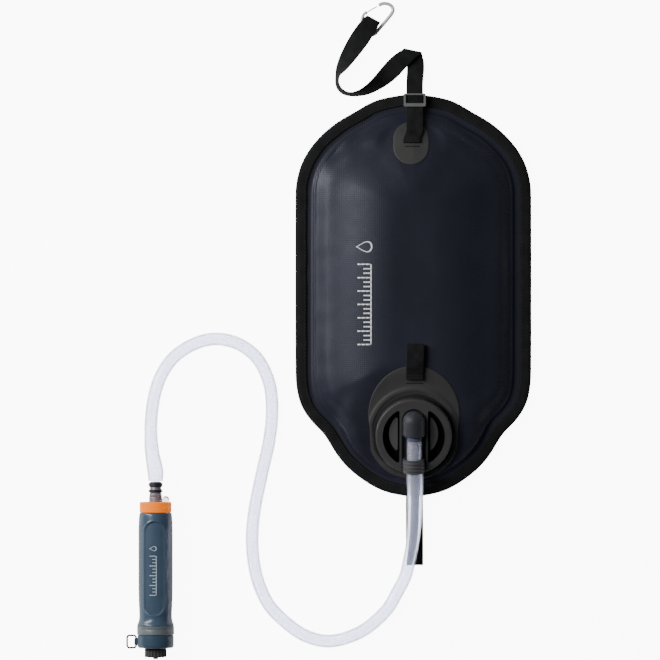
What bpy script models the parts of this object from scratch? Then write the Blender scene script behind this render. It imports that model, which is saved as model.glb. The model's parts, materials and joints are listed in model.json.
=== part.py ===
"""Gravity water filter kit: a soft reservoir bag with a bayonet fill cap, a hang strap with slider and
carabiner, a clear hose and an inline hollow-fibre filter, laid flat on a table.

Frame: +Z up, the table is z = 0, +Y runs from the fill cap to the hang strap, and the origin is on the
table below the fill cap. All sizes below are in millimetres, and MM turns them into metres.
"""

import math

import bmesh
import bpy
import numpy as np
from mathutils import Matrix, Vector

MM = 0.001
GAP = 0.3  # clearance kept between neighbours that touch on the real object

# Reservoir bag
HALF_OUTLINE = [  # (half width, Y) from the top of the bag to its bottom
    (0, 343), (36, 336.5), (58, 324.5), (78.5, 312.5), (98, 294.5), (111, 274.5), (116.5, 254.5),
    (117.5, 235), (117.5, 80), (116.6, 50), (112, 31), (101, 14.5), (89, 3), (78, -15.5), (66, -30.5),
    (47, -45.5), (27, -55.5), (0, -60.5),
]
PANEL_THICKNESS = 1.0
OUTLINE_STEPS = 29  # down one side of the bag
PANEL_INSET = 1.6  # from the outside of the binding to the panels' cut edge
DOME_EDGE = 13.0  # from the outside of the binding to where the panels leave the flange
FRONT_SHARES = [1, 0.92, 0.8, 0.64, 0.48, 0.32, 0.16, 0]  # of the dome's half width
BACK_SHARES = [1, 0.8, 0.45, 0]
FLANGE_WIDTH = 15.0  # flat welded margin around the bag
FRONT_FLANGE_Z = 6.8
BACK_FLANGE_Z = 5.4
DOME_RISE = 27.0
DOME_REACH = 85.0  # from the flange to the top of the dome
BACK_FLAT_REACH = 25.0  # from the flange to where the back lies on the table
BINDING_WIDTH = 11.5
BINDING_LEG = 1.0
BINDING_WALL = 1.2
BINDING_LOW_Z = 3.6
BINDING_HIGH_Z = 8.6

# Fill opening: its seat is a flat of the front panel, tilted towards the hose
CAP_TILT = math.radians(12)
CAP_SEAT = Vector((0, 3.1, 18.0))
SEAT_RADIUS = 50.0
SEAT_FADE_RADIUS = 82.0
PATCH_RISE = 1.5  # from the front panel's middle to a patch's middle
NECK_OUTER = 34.4
NECK_INNER = 32.4
NECK_TOP = 6.0
NECK_HOLE = 34.8
LUG_TURNS = (30, 150, 270)  # degrees
CAP_RADIUS = 38.0
CAP_TOP = 15.0
CAP_STEPS = 36
CAP_QUARTER = 60  # degrees from locked to the entry slots
BAR_HALF_WIDTH = 14.0
TROUGH_HALF_WIDTH = 12.0
WELL_RADIUS = 31.0
WELL_FLOOR_RADIUS = 25.0
HOSE_AXIS_Z = 17.4  # above the seat
ELBOW_RADIUS = 11.3
ELBOW_BORE = 4.8
ELBOW_FAR_END = 27.0
ELBOW_MOUTH = 1.9
ELBOW_LEG_Y = 14.0
ELBOW_LEG_RADIUS = 7.0

# Webbing
STRAP_THICKNESS = 1.2
STRAP_RISE = 1.5  # from a patch's middle to the webbing's middle
STRAP_HALF_WIDTH = 8.4
STRAP_X = 1.2
STRAP_LEAVES_Y = 303.0
STRAP_LANDS_Y = 356.0
STRAP_LANDS_Z = 8.6
SLIDER_Y = 336.0

# Hose
HOSE_DIAMETER = 13.0
HOSE_ROUTE = [
    (0.7, 1.05, 35.35), (0.8, -20.1, 30.9), (1.2, -37.7, 27.1), (1.6, -50, 24.2), (1.5, -63.5, 20.2),
    (1.3, -78, 15.9), (0.6, -93.5, 12.0), (-1, -108.5, 9.4), (-4, -123.5, 8.3), (-8, -140, 7.1),
    (-15.5, -155, 6.8), (-26.5, -173.5, 6.8), (-46, -191.5, 6.8), (-65, -201, 6.8), (-84, -205, 6.8),
    (-102, -202, 6.8), (-119, -193.3, 6.8), (-141, -173.5, 6.8), (-152.5, -153.5, 6.8),
    (-159, -131, 6.8), (-161.5, -104, 6.8), (-159, -73.5, 6.8), (-151.5, -36.5, 6.8),
    (-144.5, -5, 6.8), (-141.5, 24, 6.8), (-144, 52, 6.8), (-155.5, 77, 6.8), (-174, 92, 6.8),
    (-196.5, 97.5, 6.8), (-218.5, 93, 6.8), (-239, 80, 6.8), (-252, 62, 6.8), (-259, 42, 6.8),
    (-262.3, 20, 7.6), (-262.7, 0, 10.4), (-261.4, -16, 14.2), (-258.8, -30, 17.6),
    (-257.8, -37.5, 18.6), (-257.8, -44.4, 18.7),
]
HOSE_POINTS = 34  # up to the straight end on the filter's axis

# Filter: its axis is parallel to Y, and it lies on its widest ring
FILTER_X = -257.8
FILTER_Z = 18.7
RING_RADIUS = 18.65
CUP_RADIUS = 18.2
LOOP_X = -277.3
ROUND_STEPS = 24

# Carabiner
CARABINER_Z = 3.6
CARABINER_RADIUS = 1.6
CARABINER_LINE = [
    (-34.8, 431.6), (-31.8, 433.2), (-28.4, 433.6), (-24.6, 432.8), (-21.4, 430.4), (-20.3, 426.8),
    (-22.0, 423.0), (-26.2, 417.6), (-31.1, 411.8), (-36.0, 406.1), (-38.9, 403.2), (-42.8, 401.9),
    (-47.0, 403.3), (-50.0, 407.2), (-51.2, 412.5), (-51.2, 418.2), (-49.9, 422.2), (-48.3, 424.2),
]
GATE_HINGE = (-47.6, 424.2)
GATE_END = (-36.9, 430.4)
GATE_WIRE = 0.55
GATE_HALF_HEIGHT = 2.35

COLLECTION = "gravity_water_filter"


# ---------------------------------------------------------------- scene and material helpers


def clear_scene():
    for thing in list(bpy.data.objects):
        bpy.data.objects.remove(thing)


def collection_named(name):
    made = bpy.data.collections.new(name)
    bpy.context.scene.collection.children.link(made)
    return made


def material(name, colour, roughness, metallic=0.0):
    made = bpy.data.materials.new(name)
    made.use_nodes = True
    shader = made.node_tree.nodes["Principled BSDF"]
    shader.inputs["Base Color"].default_value = (*colour, 1.0)
    shader.inputs["Roughness"].default_value = roughness
    shader.inputs["Metallic"].default_value = metallic
    return made


def link(thing, parent=None, helper=False):
    (CUTTERS if helper else PARTS).objects.link(thing)
    thing.parent = parent
    if helper:
        thing.hide_render = True
        thing.display_type = "WIRE"
    return thing


def empty_at(name, place, tilt=(0, 0, 0), parent=None):
    made = bpy.data.objects.new(name, None)
    made.location = Vector(place) * MM
    made.rotation_euler = tilt
    return link(made, parent)


def face_outwards(bm):
    bmesh.ops.recalc_face_normals(bm, faces=bm.faces)
    if bm.calc_volume(signed=True) < 0:
        bmesh.ops.reverse_faces(bm, faces=bm.faces)


def from_bmesh(name, bm, look=None, parent=None, helper=False, smooth=True):
    face_outwards(bm)
    mesh = bpy.data.meshes.new(name)
    bm.to_mesh(mesh)
    bm.free()
    if smooth:
        mesh.shade_smooth()
        mesh.set_sharp_from_angle(angle=math.radians(35))
    if look:
        mesh.materials.append(look)
    return link(bpy.data.objects.new(name, mesh), parent, helper)


def turned(name, profile, look=None, parent=None, helper=False, steps=ROUND_STEPS, closed=False):
    """A profile of (radius, height) that runs down its outer side, turned about the parent's z."""
    bm = bmesh.new()
    points = [bm.verts.new((r * MM, 0, z * MM)) for r, z in profile]
    for first, second in zip(points, points[1:]):
        bm.edges.new((first, second))
    if closed:
        bm.edges.new((points[-1], points[0]))
    mesh = bpy.data.meshes.new(name)
    bm.to_mesh(mesh)
    bm.free()
    if look:
        mesh.materials.append(look)
    made = link(bpy.data.objects.new(name, mesh), parent, helper)
    screw = made.modifiers.new("turn", "SCREW")
    screw.steps = steps
    screw.render_steps = steps
    screw.use_merge_vertices = True
    screw.merge_threshold = 0.00001
    return made


def ring(name, inner, outer, low, high, look=None, parent=None, helper=False, steps=ROUND_STEPS):
    profile = [(inner, high), (outer, high), (outer, low), (inner, low)]
    return turned(name, profile, look, parent, helper, steps, closed=True)


def as_mesh(thing):
    """Turns a curve object into a welded mesh object with the same name and place."""
    bpy.context.view_layer.update()
    graph = bpy.context.evaluated_depsgraph_get()
    mesh = bpy.data.meshes.new_from_object(thing.evaluated_get(graph))
    bm = bmesh.new()
    bm.from_mesh(mesh)
    bmesh.ops.remove_doubles(bm, verts=bm.verts, dist=0.000005)
    face_outwards(bm)
    bm.to_mesh(mesh)
    bm.free()
    name, parent, helper = thing.name, thing.parent, thing.hide_render
    place = thing.matrix_basis.copy()
    bpy.data.objects.remove(thing)
    made = link(bpy.data.objects.new(name, mesh), parent, helper)
    made.matrix_basis = place
    return made


def plate(name, outline, low, high, look=None, parent=None, helper=False, holes=()):
    """A flat outline in the parent's xy plane, from z = low to z = high."""
    curve = bpy.data.curves.new(name, "CURVE")
    curve.dimensions = "2D"
    curve.fill_mode = "BOTH"
    curve.extrude = (high - low) / 2 * MM
    for loop in (outline, *holes):
        spline = curve.splines.new("POLY")
        spline.points.add(len(loop) - 1)
        for point, (x, y) in zip(spline.points, loop):
            point.co = (x * MM, y * MM, 0, 1)
        spline.use_cyclic_u = True
    if look:
        curve.materials.append(look)
    made = link(bpy.data.objects.new(name, curve), parent, helper)
    made.location.z = (low + high) / 2 * MM
    return as_mesh(made)


def box(name, low, high, look=None, parent=None, helper=False, turn=0.0):
    """A box between two corners, turned about the parent's z."""
    bm = bmesh.new()
    bmesh.ops.create_cube(bm, size=1.0)
    low, high = Vector(low), Vector(high)
    bmesh.ops.scale(bm, vec=(high - low) * MM, verts=bm.verts)
    bmesh.ops.translate(bm, vec=(high + low) / 2 * MM, verts=bm.verts)
    bmesh.ops.rotate(bm, cent=(0, 0, 0), matrix=Matrix.Rotation(turn, 3, "Z"), verts=bm.verts)
    return from_bmesh(name, bm, look, parent, helper, smooth=False)


def rod(name, start, end, radius, parent=None, helper=True, segments=24, look=None):
    """A round bar between two points of the parent's frame."""
    start, end = Vector(start) * MM, Vector(end) * MM
    bm = bmesh.new()
    length = (end - start).length
    bmesh.ops.create_cone(
        bm, cap_ends=True, segments=segments, radius1=radius * MM, radius2=radius * MM, depth=length
    )
    turn = (end - start).to_track_quat("Z", "Y").to_matrix().to_4x4()
    bm.transform(Matrix.Translation((start + end) / 2) @ turn)
    return from_bmesh(name, bm, look, parent, helper)


def tube(name, points, radius, look=None, parent=None, closed=False, resolution=2, radii=None):
    """A round wire or hose through points of the parent's frame."""
    curve = bpy.data.curves.new(name, "CURVE")
    curve.dimensions = "3D"
    curve.bevel_depth = radius * MM
    curve.bevel_resolution = resolution
    curve.use_fill_caps = True
    spline = curve.splines.new("POLY")
    spline.points.add(len(points) - 1)
    for index, (point, place) in enumerate(zip(spline.points, points)):
        point.co = (*(Vector(place) * MM), 1)
        point.radius = radii[index] if radii else 1.0
    spline.use_cyclic_u = closed
    if look:
        curve.materials.append(look)
    return link(bpy.data.objects.new(name, curve), parent)


def combine(target, other, operation="DIFFERENCE"):
    modifier = target.modifiers.new(other.name, "BOOLEAN")
    modifier.operation = operation
    modifier.object = other
    return target


def solidify(thing, thickness):
    modifier = thing.modifiers.new("sheet", "SOLIDIFY")
    modifier.thickness = thickness * MM
    modifier.offset = 0.0
    return thing


# ---------------------------------------------------------------- curves and surfaces


def smooth_line(points, count):
    """Count points, evenly spaced, on a Catmull-Rom curve through the given ones."""
    knots = np.array(points, float)
    ends = [2 * knots[0] - knots[1], 2 * knots[-1] - knots[-2]]
    padded = np.vstack([ends[0], knots, ends[1]])
    dense = []
    for a, b, c, d in zip(padded, padded[1:], padded[2:], padded[3:]):
        for t in np.linspace(0, 1, 24, endpoint=False):
            dense.append(
                0.5 * (2 * b + (c - a) * t + (2 * a - 5 * b + 4 * c - d) * t**2
                       + (3 * b - a - 3 * c + d) * t**3)
            )
    dense = np.array(dense + [knots[-1]])
    along = np.concatenate([[0], np.cumsum(np.linalg.norm(np.diff(dense, axis=0), axis=1))])
    even = np.linspace(0, along[-1], count)
    return np.stack([np.interp(even, along, dense[:, k]) for k in range(dense.shape[1])], axis=1)


def smooth_step(value):
    value = np.clip(value, 0, 1)
    return value * value * (3 - 2 * value)


def half_outline(count, inset=0.0):
    """Points down the right side of the bag, moved inwards by inset."""
    line = smooth_line(HALF_OUTLINE, count)
    run = np.gradient(line, axis=0)
    run[0] = run[-1] = (1, 0)
    run[-1, 0] = -1
    inward = np.stack([run[:, 1], -run[:, 0]], axis=1)
    inward /= np.linalg.norm(inward, axis=1)[:, None]
    return line + inward * inset


def whole_outline(count, inset=0.0):
    """The closed outline of the bag, clockwise from the top."""
    right = half_outline(count, inset)
    left = right[-2:0:-1] * (-1, 1)
    return np.vstack([right, left])


def edge_distance(x, y):
    return np.min(np.hypot(EDGE[:, 0] - x, EDGE[:, 1] - y))


def seat_height(y):
    return CAP_SEAT.z + math.tan(CAP_TILT) * (y - CAP_SEAT.y)


def front_height(x, y):
    """Height of the front panel's middle: a dome inside a flat flange, flattened under the cap."""
    inside = edge_distance(x, y)
    rise = np.clip((inside - FLANGE_WIDTH) / DOME_REACH, 0, 1)
    dome = FRONT_FLANGE_Z + DOME_RISE * math.sin(math.pi / 2 * rise)
    from_cap = math.hypot(x, y - CAP_SEAT.y)
    seat = 1 - smooth_step((from_cap - SEAT_RADIUS) / (SEAT_FADE_RADIUS - SEAT_RADIUS))
    shaped = dome + (seat_height(y) - dome) * seat
    margin = smooth_step((inside - DOME_EDGE) / 6)
    return float(FRONT_FLANGE_Z + (shaped - FRONT_FLANGE_Z) * margin)


def back_height(x, y):
    """Height of the back panel's middle: flat on the table, rising to the flange."""
    inside = edge_distance(x, y)
    low = smooth_step((inside - FLANGE_WIDTH) / BACK_FLAT_REACH)
    return float(BACK_FLANGE_Z + (PANEL_THICKNESS / 2 - BACK_FLANGE_Z) * low)


def sheet(name, grid, look):
    """An open surface through a grid of points, given a thickness by the caller."""
    bm = bmesh.new()
    rows = [[bm.verts.new(Vector(point) * MM) for point in row] for row in grid]
    for upper, lower in zip(rows, rows[1:]):
        for corner in zip(upper, upper[1:], lower[1:], lower):
            bm.faces.new(corner)
    bmesh.ops.remove_doubles(bm, verts=bm.verts, dist=0.00001)
    return from_bmesh(name, bm, look)


def bag_panel(name, height, shares, look):
    """Rows from side to side: the cut edge, the edge of the dome, then level across the dome."""
    cut_edge = half_outline(OUTLINE_STEPS, PANEL_INSET)
    dome_edge = half_outline(OUTLINE_STEPS, DOME_EDGE)
    grid = []
    for (cut_half, cut_y), (half, y) in zip(cut_edge, dome_edge):
        right = [(cut_half, cut_y)] + [(half * share, y) for share in shares]
        row = [(-x, y) for x, y in right] + right[-2::-1]
        grid.append([(x, y, height(x, y)) for x, y in row])
    return solidify(sheet(name, grid, look), PANEL_THICKNESS)


def patch(name, middle, outline, look, inner=0.0):
    """A sheet that follows the front panel, out to a closed outline around its middle."""
    centre = Vector(middle)
    grid = []
    for share in (0, 0.5, 1):
        loop = []
        for x, y in outline:
            arm = Vector((x, y)) - centre
            reach = inner + (arm.length - inner) * share
            spot = centre + arm.normalized() * reach
            loop.append((spot.x, spot.y, front_height(spot.x, spot.y) + PATCH_RISE))
        grid.append(loop + loop[:1])
    return solidify(sheet(name, grid, look), PANEL_THICKNESS)


def ribbon(name, stations, look, steps=2):
    """Webbing: a thin strip whose two long edges run through the stations."""
    pairs = np.array(stations, float).reshape(len(stations), 6)
    line = smooth_by_station(pairs, steps)
    first, second = line[:, :3], line[:, 3:]
    along = np.gradient((first + second) / 2, axis=0)
    normal = np.cross(along, second - first)
    normal *= STRAP_THICKNESS / 2 / np.linalg.norm(normal, axis=1)[:, None]
    bm = bmesh.new()
    loops = []
    for a, b, n in zip(first, second, normal):
        corners = (a + n, b + n, b - n, a - n)
        loops.append([bm.verts.new(Vector(corner) * MM) for corner in corners])
    for one, two in zip(loops, loops[1:]):
        for k in range(4):
            bm.faces.new((one[k], one[(k + 1) % 4], two[(k + 1) % 4], two[k]))
    bm.faces.new(loops[0])
    bm.faces.new(loops[-1])
    return from_bmesh(name, bm, look)


def smooth_by_station(knots, steps):
    """A Catmull-Rom curve with the same number of steps between each two knots."""
    padded = np.vstack([2 * knots[0] - knots[1], knots, 2 * knots[-1] - knots[-2]])
    line = []
    for a, b, c, d in zip(padded, padded[1:], padded[2:], padded[3:]):
        for t in np.linspace(0, 1, steps, endpoint=False):
            line.append(
                0.5 * (2 * b + (c - a) * t + (2 * a - 5 * b + 4 * c - d) * t**2
                       + (3 * b - a - 3 * c + d) * t**3)
            )
    return np.array(line + [knots[-1]])


def arc(centre, radius, start, end, count):
    """Points on an arc, with its angles in degrees."""
    turns = np.radians(np.linspace(start, end, count))
    return [(centre[0] + radius * math.cos(t), centre[1] + radius * math.sin(t)) for t in turns]


# ---------------------------------------------------------------- reservoir bag


def make_bag():
    fabric = material("bag_fabric", (0.024, 0.026, 0.036), 0.5)
    bag_panel("back_panel", back_height, BACK_SHARES, fabric)
    front = bag_panel("front_panel", front_height, FRONT_SHARES, fabric)
    combine(front, ring_cutter("neck_hole", NECK_HOLE, -8, 8))
    make_binding()
    make_patches()
    make_neck()


def ring_cutter(name, radius, low, high):
    return turned(name, [(0, high), (radius, high), (radius, low), (0, low)], None, CAP_AXIS, True)


def make_binding():
    """A channel of tape folded over the edge of both panels."""
    look = material("binding_tape", (0.010, 0.010, 0.011), 0.8)
    outside = whole_outline(OUTLINE_STEPS)
    wall = whole_outline(OUTLINE_STEPS, BINDING_WALL)
    lip = whole_outline(OUTLINE_STEPS, BINDING_WIDTH)
    section = [
        (outside, BINDING_LOW_Z), (outside, BINDING_HIGH_Z), (lip, BINDING_HIGH_Z),
        (lip, BINDING_HIGH_Z - BINDING_LEG), (wall, BINDING_HIGH_Z - BINDING_LEG),
        (wall, BINDING_LOW_Z + BINDING_LEG), (lip, BINDING_LOW_Z + BINDING_LEG), (lip, BINDING_LOW_Z),
    ]
    bm = bmesh.new()
    rails = [[bm.verts.new((x * MM, y * MM, z * MM)) for x, y in line] for line, z in section]
    count = len(rails[0])
    for k, rail in enumerate(rails):
        beside = rails[(k + 1) % len(rails)]
        for i in range(count):
            j = (i + 1) % count
            bm.faces.new((rail[i], rail[j], beside[j], beside[i]))
    from_bmesh("edge_binding", bm, look)


def make_patches():
    look = material("patch_rubber", (0.036, 0.037, 0.037), 0.6)
    egg = arc((0, 2.2), 45.0, 200, 340, 15)
    egg += arc((-2, 22), 48.2, -12, 60, 9)[1:]
    egg += arc((0.3, 22), 48.2, 60, 120, 7)[1:]
    egg += arc((2, 22), 48.2, 120, 192, 9)[1:]
    base = patch("base_patch", (0, 3.1), egg, look, inner=20.0)
    combine(base, bpy.data.objects["neck_hole"])
    upper = arc((-2.5, 289.3), 17.5, 180, 360, 13) + arc((-2.5, 297.0), 17.5, 0, 180, 13)
    patch("strap_patch", (-2.5, 293), upper, look)


def make_neck():
    """The moulded mouth: a barrel with three lugs, and a flange welded inside the front panel."""
    look = material("neck_plastic", (0.020, 0.020, 0.021), 0.5)
    profile = [
        (NECK_INNER, NECK_TOP), (NECK_OUTER, NECK_TOP), (NECK_OUTER, -1.0), (38.5, -1.0), (38.5, -2.4),
        (NECK_INNER, -2.4),
    ]
    neck = turned("neck_ring", profile, look, CAP_AXIS, steps=CAP_STEPS, closed=True)
    for number, turn in enumerate(LUG_TURNS):
        low, high = (33.5, -4.5, 3.5), (35.9, 4.5, 5.2)
        lug = box(f"lug_{number}", low, high, None, CAP_AXIS, True, math.radians(turn))
        combine(neck, lug, "UNION")


# ---------------------------------------------------------------- fill cap and outlet


def well_outline(radius, side):
    """Half of a disc, cut off along the crossbar."""
    reach = math.degrees(math.acos(BAR_HALF_WIDTH / radius))
    middle = 0 if side > 0 else 180
    return arc((0, 0), radius, middle - reach, middle + reach, 15)


def make_cap():
    look = material("cap_plastic", (0.014, 0.014, 0.015), 0.45)
    profile = [
        (0, CAP_TOP), (37, CAP_TOP), (CAP_RADIUS, CAP_TOP - 1), (CAP_RADIUS, 2.7), (NECK_HOLE, 2.7),
        (NECK_HOLE, 7.4), (32, 7.4), (32, 1.5), (24.5, 1.5), (24.5, 3.4), (0, 3.4),
    ]
    cap = turned("fill_cap", profile, look, CAP_AXIS, steps=CAP_STEPS)
    for side, word in ((1, "right"), (-1, "left")):
        well = well_outline(WELL_RADIUS, side)
        combine(cap, plate(f"crescent_{word}", well, 5, 20, None, CAP_AXIS, True))
        raised = well_outline(WELL_FLOOR_RADIUS, side)
        floor = plate(f"well_floor_{word}", raised, 4, 8, None, CAP_AXIS, True)
        combine(cap, floor, "UNION")
    half = TROUGH_HALF_WIDTH
    trough = arc((0, 28.2 - half), half, 0, 180, 15) + [(-half, -29), (half, -29)]
    combine(cap, plate("trough", trough, 5.8, 24, None, CAP_AXIS, True))
    combine(cap, box("trough_mouth", (-half, -45, 9.1), (half, -28, 24), None, CAP_AXIS, True))
    combine(cap, rod("leg_hole", (0, ELBOW_LEG_Y, 0), (0, ELBOW_LEG_Y, 9), 7.35, CAP_AXIS))
    combine(cap, ring("lug_groove", 33.6, 36.7, 3.1, 5.6, None, CAP_AXIS, True, steps=CAP_STEPS))
    for number, turn in enumerate(LUG_TURNS):
        slot = box(
            f"lug_slot_{number}", (33.6, -5.2, 1), (36.6, 5.2, 4), None, CAP_AXIS, True,
            math.radians(turn - CAP_QUARTER),
        )
        combine(cap, slot)
    seal_look = material("seal_rubber", (0.030, 0.030, 0.032), 0.7)
    ring("cap_gasket", 32.35, 34.45, 6.3, 7.1, seal_look, CAP_AXIS)
    make_elbow(seal_look)
    make_retainer()


def make_elbow(seal_look):
    """The outlet: a round barrel in the cap's trough, and a leg through the cap held by a nut."""
    look = material("elbow_plastic", (0.032, 0.033, 0.039), 0.4)
    barrel_axis = empty_at("elbow_axis", (0, 0, HOSE_AXIS_Z), (math.radians(90), 0, 0), CAP_AXIS)
    round_end = arc((0, ELBOW_RADIUS - ELBOW_FAR_END), ELBOW_RADIUS, 0, -90, 9)
    profile = [(0, -ELBOW_MOUTH), (ELBOW_RADIUS, -ELBOW_MOUTH)] + round_end[:-1] + [(0, -ELBOW_FAR_END)]
    elbow = turned("outlet_elbow", profile, look, barrel_axis)
    foot, top = (0, ELBOW_LEG_Y, -3.6), (0, ELBOW_LEG_Y, HOSE_AXIS_Z - 3)
    combine(elbow, rod("elbow_leg", foot, top, ELBOW_LEG_RADIUS, CAP_AXIS), "UNION")
    mouth, inner_end = (0, -1, HOSE_AXIS_Z), (0, ELBOW_LEG_Y + 3, HOSE_AXIS_Z)
    combine(elbow, rod("elbow_bore", mouth, inner_end, ELBOW_BORE, CAP_AXIS))
    foot, top = (0, ELBOW_LEG_Y, -5), (0, ELBOW_LEG_Y, HOSE_AXIS_Z + 1)
    combine(elbow, rod("elbow_drain", foot, top, ELBOW_BORE - 0.4, CAP_AXIS))
    leg_axis = empty_at("elbow_leg_axis", (0, ELBOW_LEG_Y, 0), (0, 0, 0), CAP_AXIS)
    ring("elbow_seal", 7.35, 9.6, 2.2, 3.1, seal_look, leg_axis)
    hexagon = arc((0, 0), 10.0, 0, 300, 6)
    hole = arc((0, 0), 7.35, 0, 345, 24)
    nut = plate("elbow_nut", hexagon, -1.3, 1.9, None, leg_axis, holes=[hole])
    nut.data.materials.append(material("nut_plastic", (0.05, 0.05, 0.05), 0.5))


def make_retainer():
    """The arch over the hose at the rim of the cap."""
    look = material("retainer_rubber", (0.055, 0.054, 0.058), 0.5)
    axis = empty_at("retainer_axis", (0, 0, HOSE_AXIS_Z), (math.radians(90), 0, 0), CAP_AXIS)
    arch = ring("hose_retainer", 8.1, 11.3, 22, 36, look, axis)
    combine(arch, box("retainer_foot", (-13, -40, 0), (13, -18, 9.5), None, CAP_AXIS, True))


# ---------------------------------------------------------------- webbing and its hardware


def strap_slope():
    leaves = front_height(STRAP_X, STRAP_LEAVES_Y) + PATCH_RISE + STRAP_RISE
    return (STRAP_LANDS_Z - leaves) / (STRAP_LANDS_Y - STRAP_LEAVES_Y)


def strap_height(y):
    return STRAP_LANDS_Z + strap_slope() * (y - STRAP_LANDS_Y)


def level(x, y, z, half=STRAP_HALF_WIDTH):
    """A station of webbing that lies level across its width."""
    return ((x - half, y, z), (x + half, y, z))


def on_patch(x, y, rise=0.0, half=8.7):
    """A station of webbing that lies on a patch of the bag."""
    return level(x, y, front_height(x, y) + PATCH_RISE + STRAP_RISE + rise, half)


def make_webbing():
    look = material("webbing", (0.009, 0.009, 0.010), 0.85)
    sewn = [on_patch(-1, 293.5), on_patch(-0.6, 298.5)]
    taut = [level(STRAP_X, y, strap_height(y)) for y in (306, 318, 330, 342, 352)]
    loose = [
        level(1.6, 358.5, 7.4, 8.5), level(2.1, 364.5, 4.2, 8.6), level(2.3, 370, 1.7, 8.7),
        level(2.1, 375, 0.9, 8.7),
        ((-7.6, 381, 0.9), (9.9, 379, 0.9)),
        ((-9.0, 386.6, 1.2), (8.9, 382.8, 1.2)),
        ((-9.8, 388.4, 3.0), (8.2, 384.6, 3.0)),
        ((-11.0, 387.2, 4.9), (7.2, 383.2, 4.9)),
        ((-14.6, 385.2, 5.3), (2.8, 379.6, 5.3)),
        ((-20.4, 381.0, 5.0), (-6.4, 370.4, 5.0)),
        ((-27.5, 374.2, 4.7), (-13.4, 362.6, 4.2)),
        ((-35.8, 364.2, 7.0), (-22.6, 354.6, 1.6)),
        ((-43.4, 355.4, 12.2), (-32.4, 348.4, 0.8)),
        ((-50.2, 349.2, 15.2), (-42.1, 343.8, 0.6)),
        ((-56.6, 345.4, 16.8), (-51.2, 341.5, 0.6)),
        ((-63.6, 344.0, 17.6), (-60.6, 341.0, 0.6)),
        ((-69.4, 346.0, 17.8), (-68.6, 342.2, 0.6)),
        ((-73.2, 349.8, 17.8), (-74.6, 346.2, 0.6)),
        ((-74.9, 355.0, 17.8), (-77.6, 352.4, 0.6)),
        ((-73.6, 361.0, 17.0), (-77.9, 360.6, 0.6)),
        ((-66.8, 367.4, 14.6), (-75.8, 370.0, 0.8)),
        ((-60.6, 374.6, 12.0), (-71.8, 378.9, 1.2)),
        ((-54.4, 382.2, 10.4), (-67.2, 388.0, 2.6)),
        ((-47.8, 391.0, 9.8), (-62.2, 397.6, 5.6)),
        ((-42.4, 399.4, 10.2), (-57.2, 406.6, 8.8)),
        ((-38.0, 406.6, 10.6), (-52.6, 413.8, 10.6)),
        ((-35.2, 411.0, 10.3), (-49.2, 418.4, 10.3)),
        ((-33.6, 413.5, 8.0), (-47.1, 420.9, 8.0)),
        ((-33.2, 414.1, 5.6), (-46.7, 421.5, 5.6)),
        ((-33.6, 413.5, 3.2), (-47.1, 420.9, 3.2)),
        ((-35.2, 411.0, 1.1), (-49.2, 418.4, 1.1)),
        ((-39.6, 403.4, 0.8), (-54.4, 411.2, 0.8)),
        ((-45.6, 392.8, 0.8), (-60.4, 400.6, 0.8)),
    ]
    ribbon("hang_strap", sewn + taut + loose, look)
    make_tabs(look)


def make_tabs(look):
    """The short loop above the cap, and the pull tail sewn under the binding's bottom."""
    loop = [
        (1.0, 58, 0), (1.1, 66, 0), (1.4, 76, -0.2), (1.7, 86, -0.6), (1.8, 90.6, -0.3),
        (1.8, 92.2, 1.4), (1.8, 90.8, 3.2), (1.7, 85, 4.2), (1.4, 76, 4.0), (1.1, 67, 2.2),
        (1.0, 63, 1.6), (1.0, 57, 1.6),
    ]
    ribbon("base_loop_tab", [on_patch(x, y, rise) for x, y, rise in loop], look)
    tail = [
        level(1.2, -49, 2.6, 8.7), level(1.2, -58, 2.5, 8.7), level(1.2, -66, 1.4, 8.7),
        level(1.2, -74, 0.8, 8.7), level(1.3, -100, 0.8, 8.7), level(1.3, -129.3, 0.8, 8.7),
    ]
    ribbon("tail_strap", tail, look)


def make_slider():
    """Ladder buckle: two front bars over the webbing, and a middle bar behind it."""
    look = material("slider_plastic", (0.09, 0.09, 0.09), 0.45)
    tilt = math.atan(strap_slope())
    axis = empty_at("slider_axis", (STRAP_X, SLIDER_Y, strap_height(SLIDER_Y)), (tilt, 0, 0))
    half_wide, half_high, bar = 11.1, 6.8, 2.2
    near = STRAP_THICKNESS / 2 + GAP
    far = near + 1.5
    corners = rounded_rectangle(half_wide, half_high, 1.8)
    window = rounded_rectangle(half_wide - bar, half_high - 2.5, 0.6, shift=0.9)
    slider = plate("strap_slider", corners, near, far, None, axis, holes=[window])
    slider.data.materials.append(look)
    inner, outer = half_wide - bar + 0.1, half_wide - 0.2
    for word, low_x, high_x in (("left", -outer, -inner), ("right", inner, outer)):
        side = box(f"slider_{word}", (low_x, -6, -far), (high_x, 6, near + 0.7), None, axis, True)
        combine(slider, side, "UNION")
    low, high = (-half_wide + 0.5, -1.3, -far + 0.1), (half_wide - 0.5, 1.3, -near)
    combine(slider, box("slider_middle", low, high, None, axis, True), "UNION")


def rounded_rectangle(half_x, half_y, radius, shift=0.0):
    points = []
    for x, y, start in ((1, 1, 0), (-1, 1, 90), (-1, -1, 180), (1, -1, 270)):
        middle = (x * (half_x - radius), y * (half_y - radius) + shift)
        points += arc(middle, radius, start, start + 90, 5)
    return points


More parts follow.
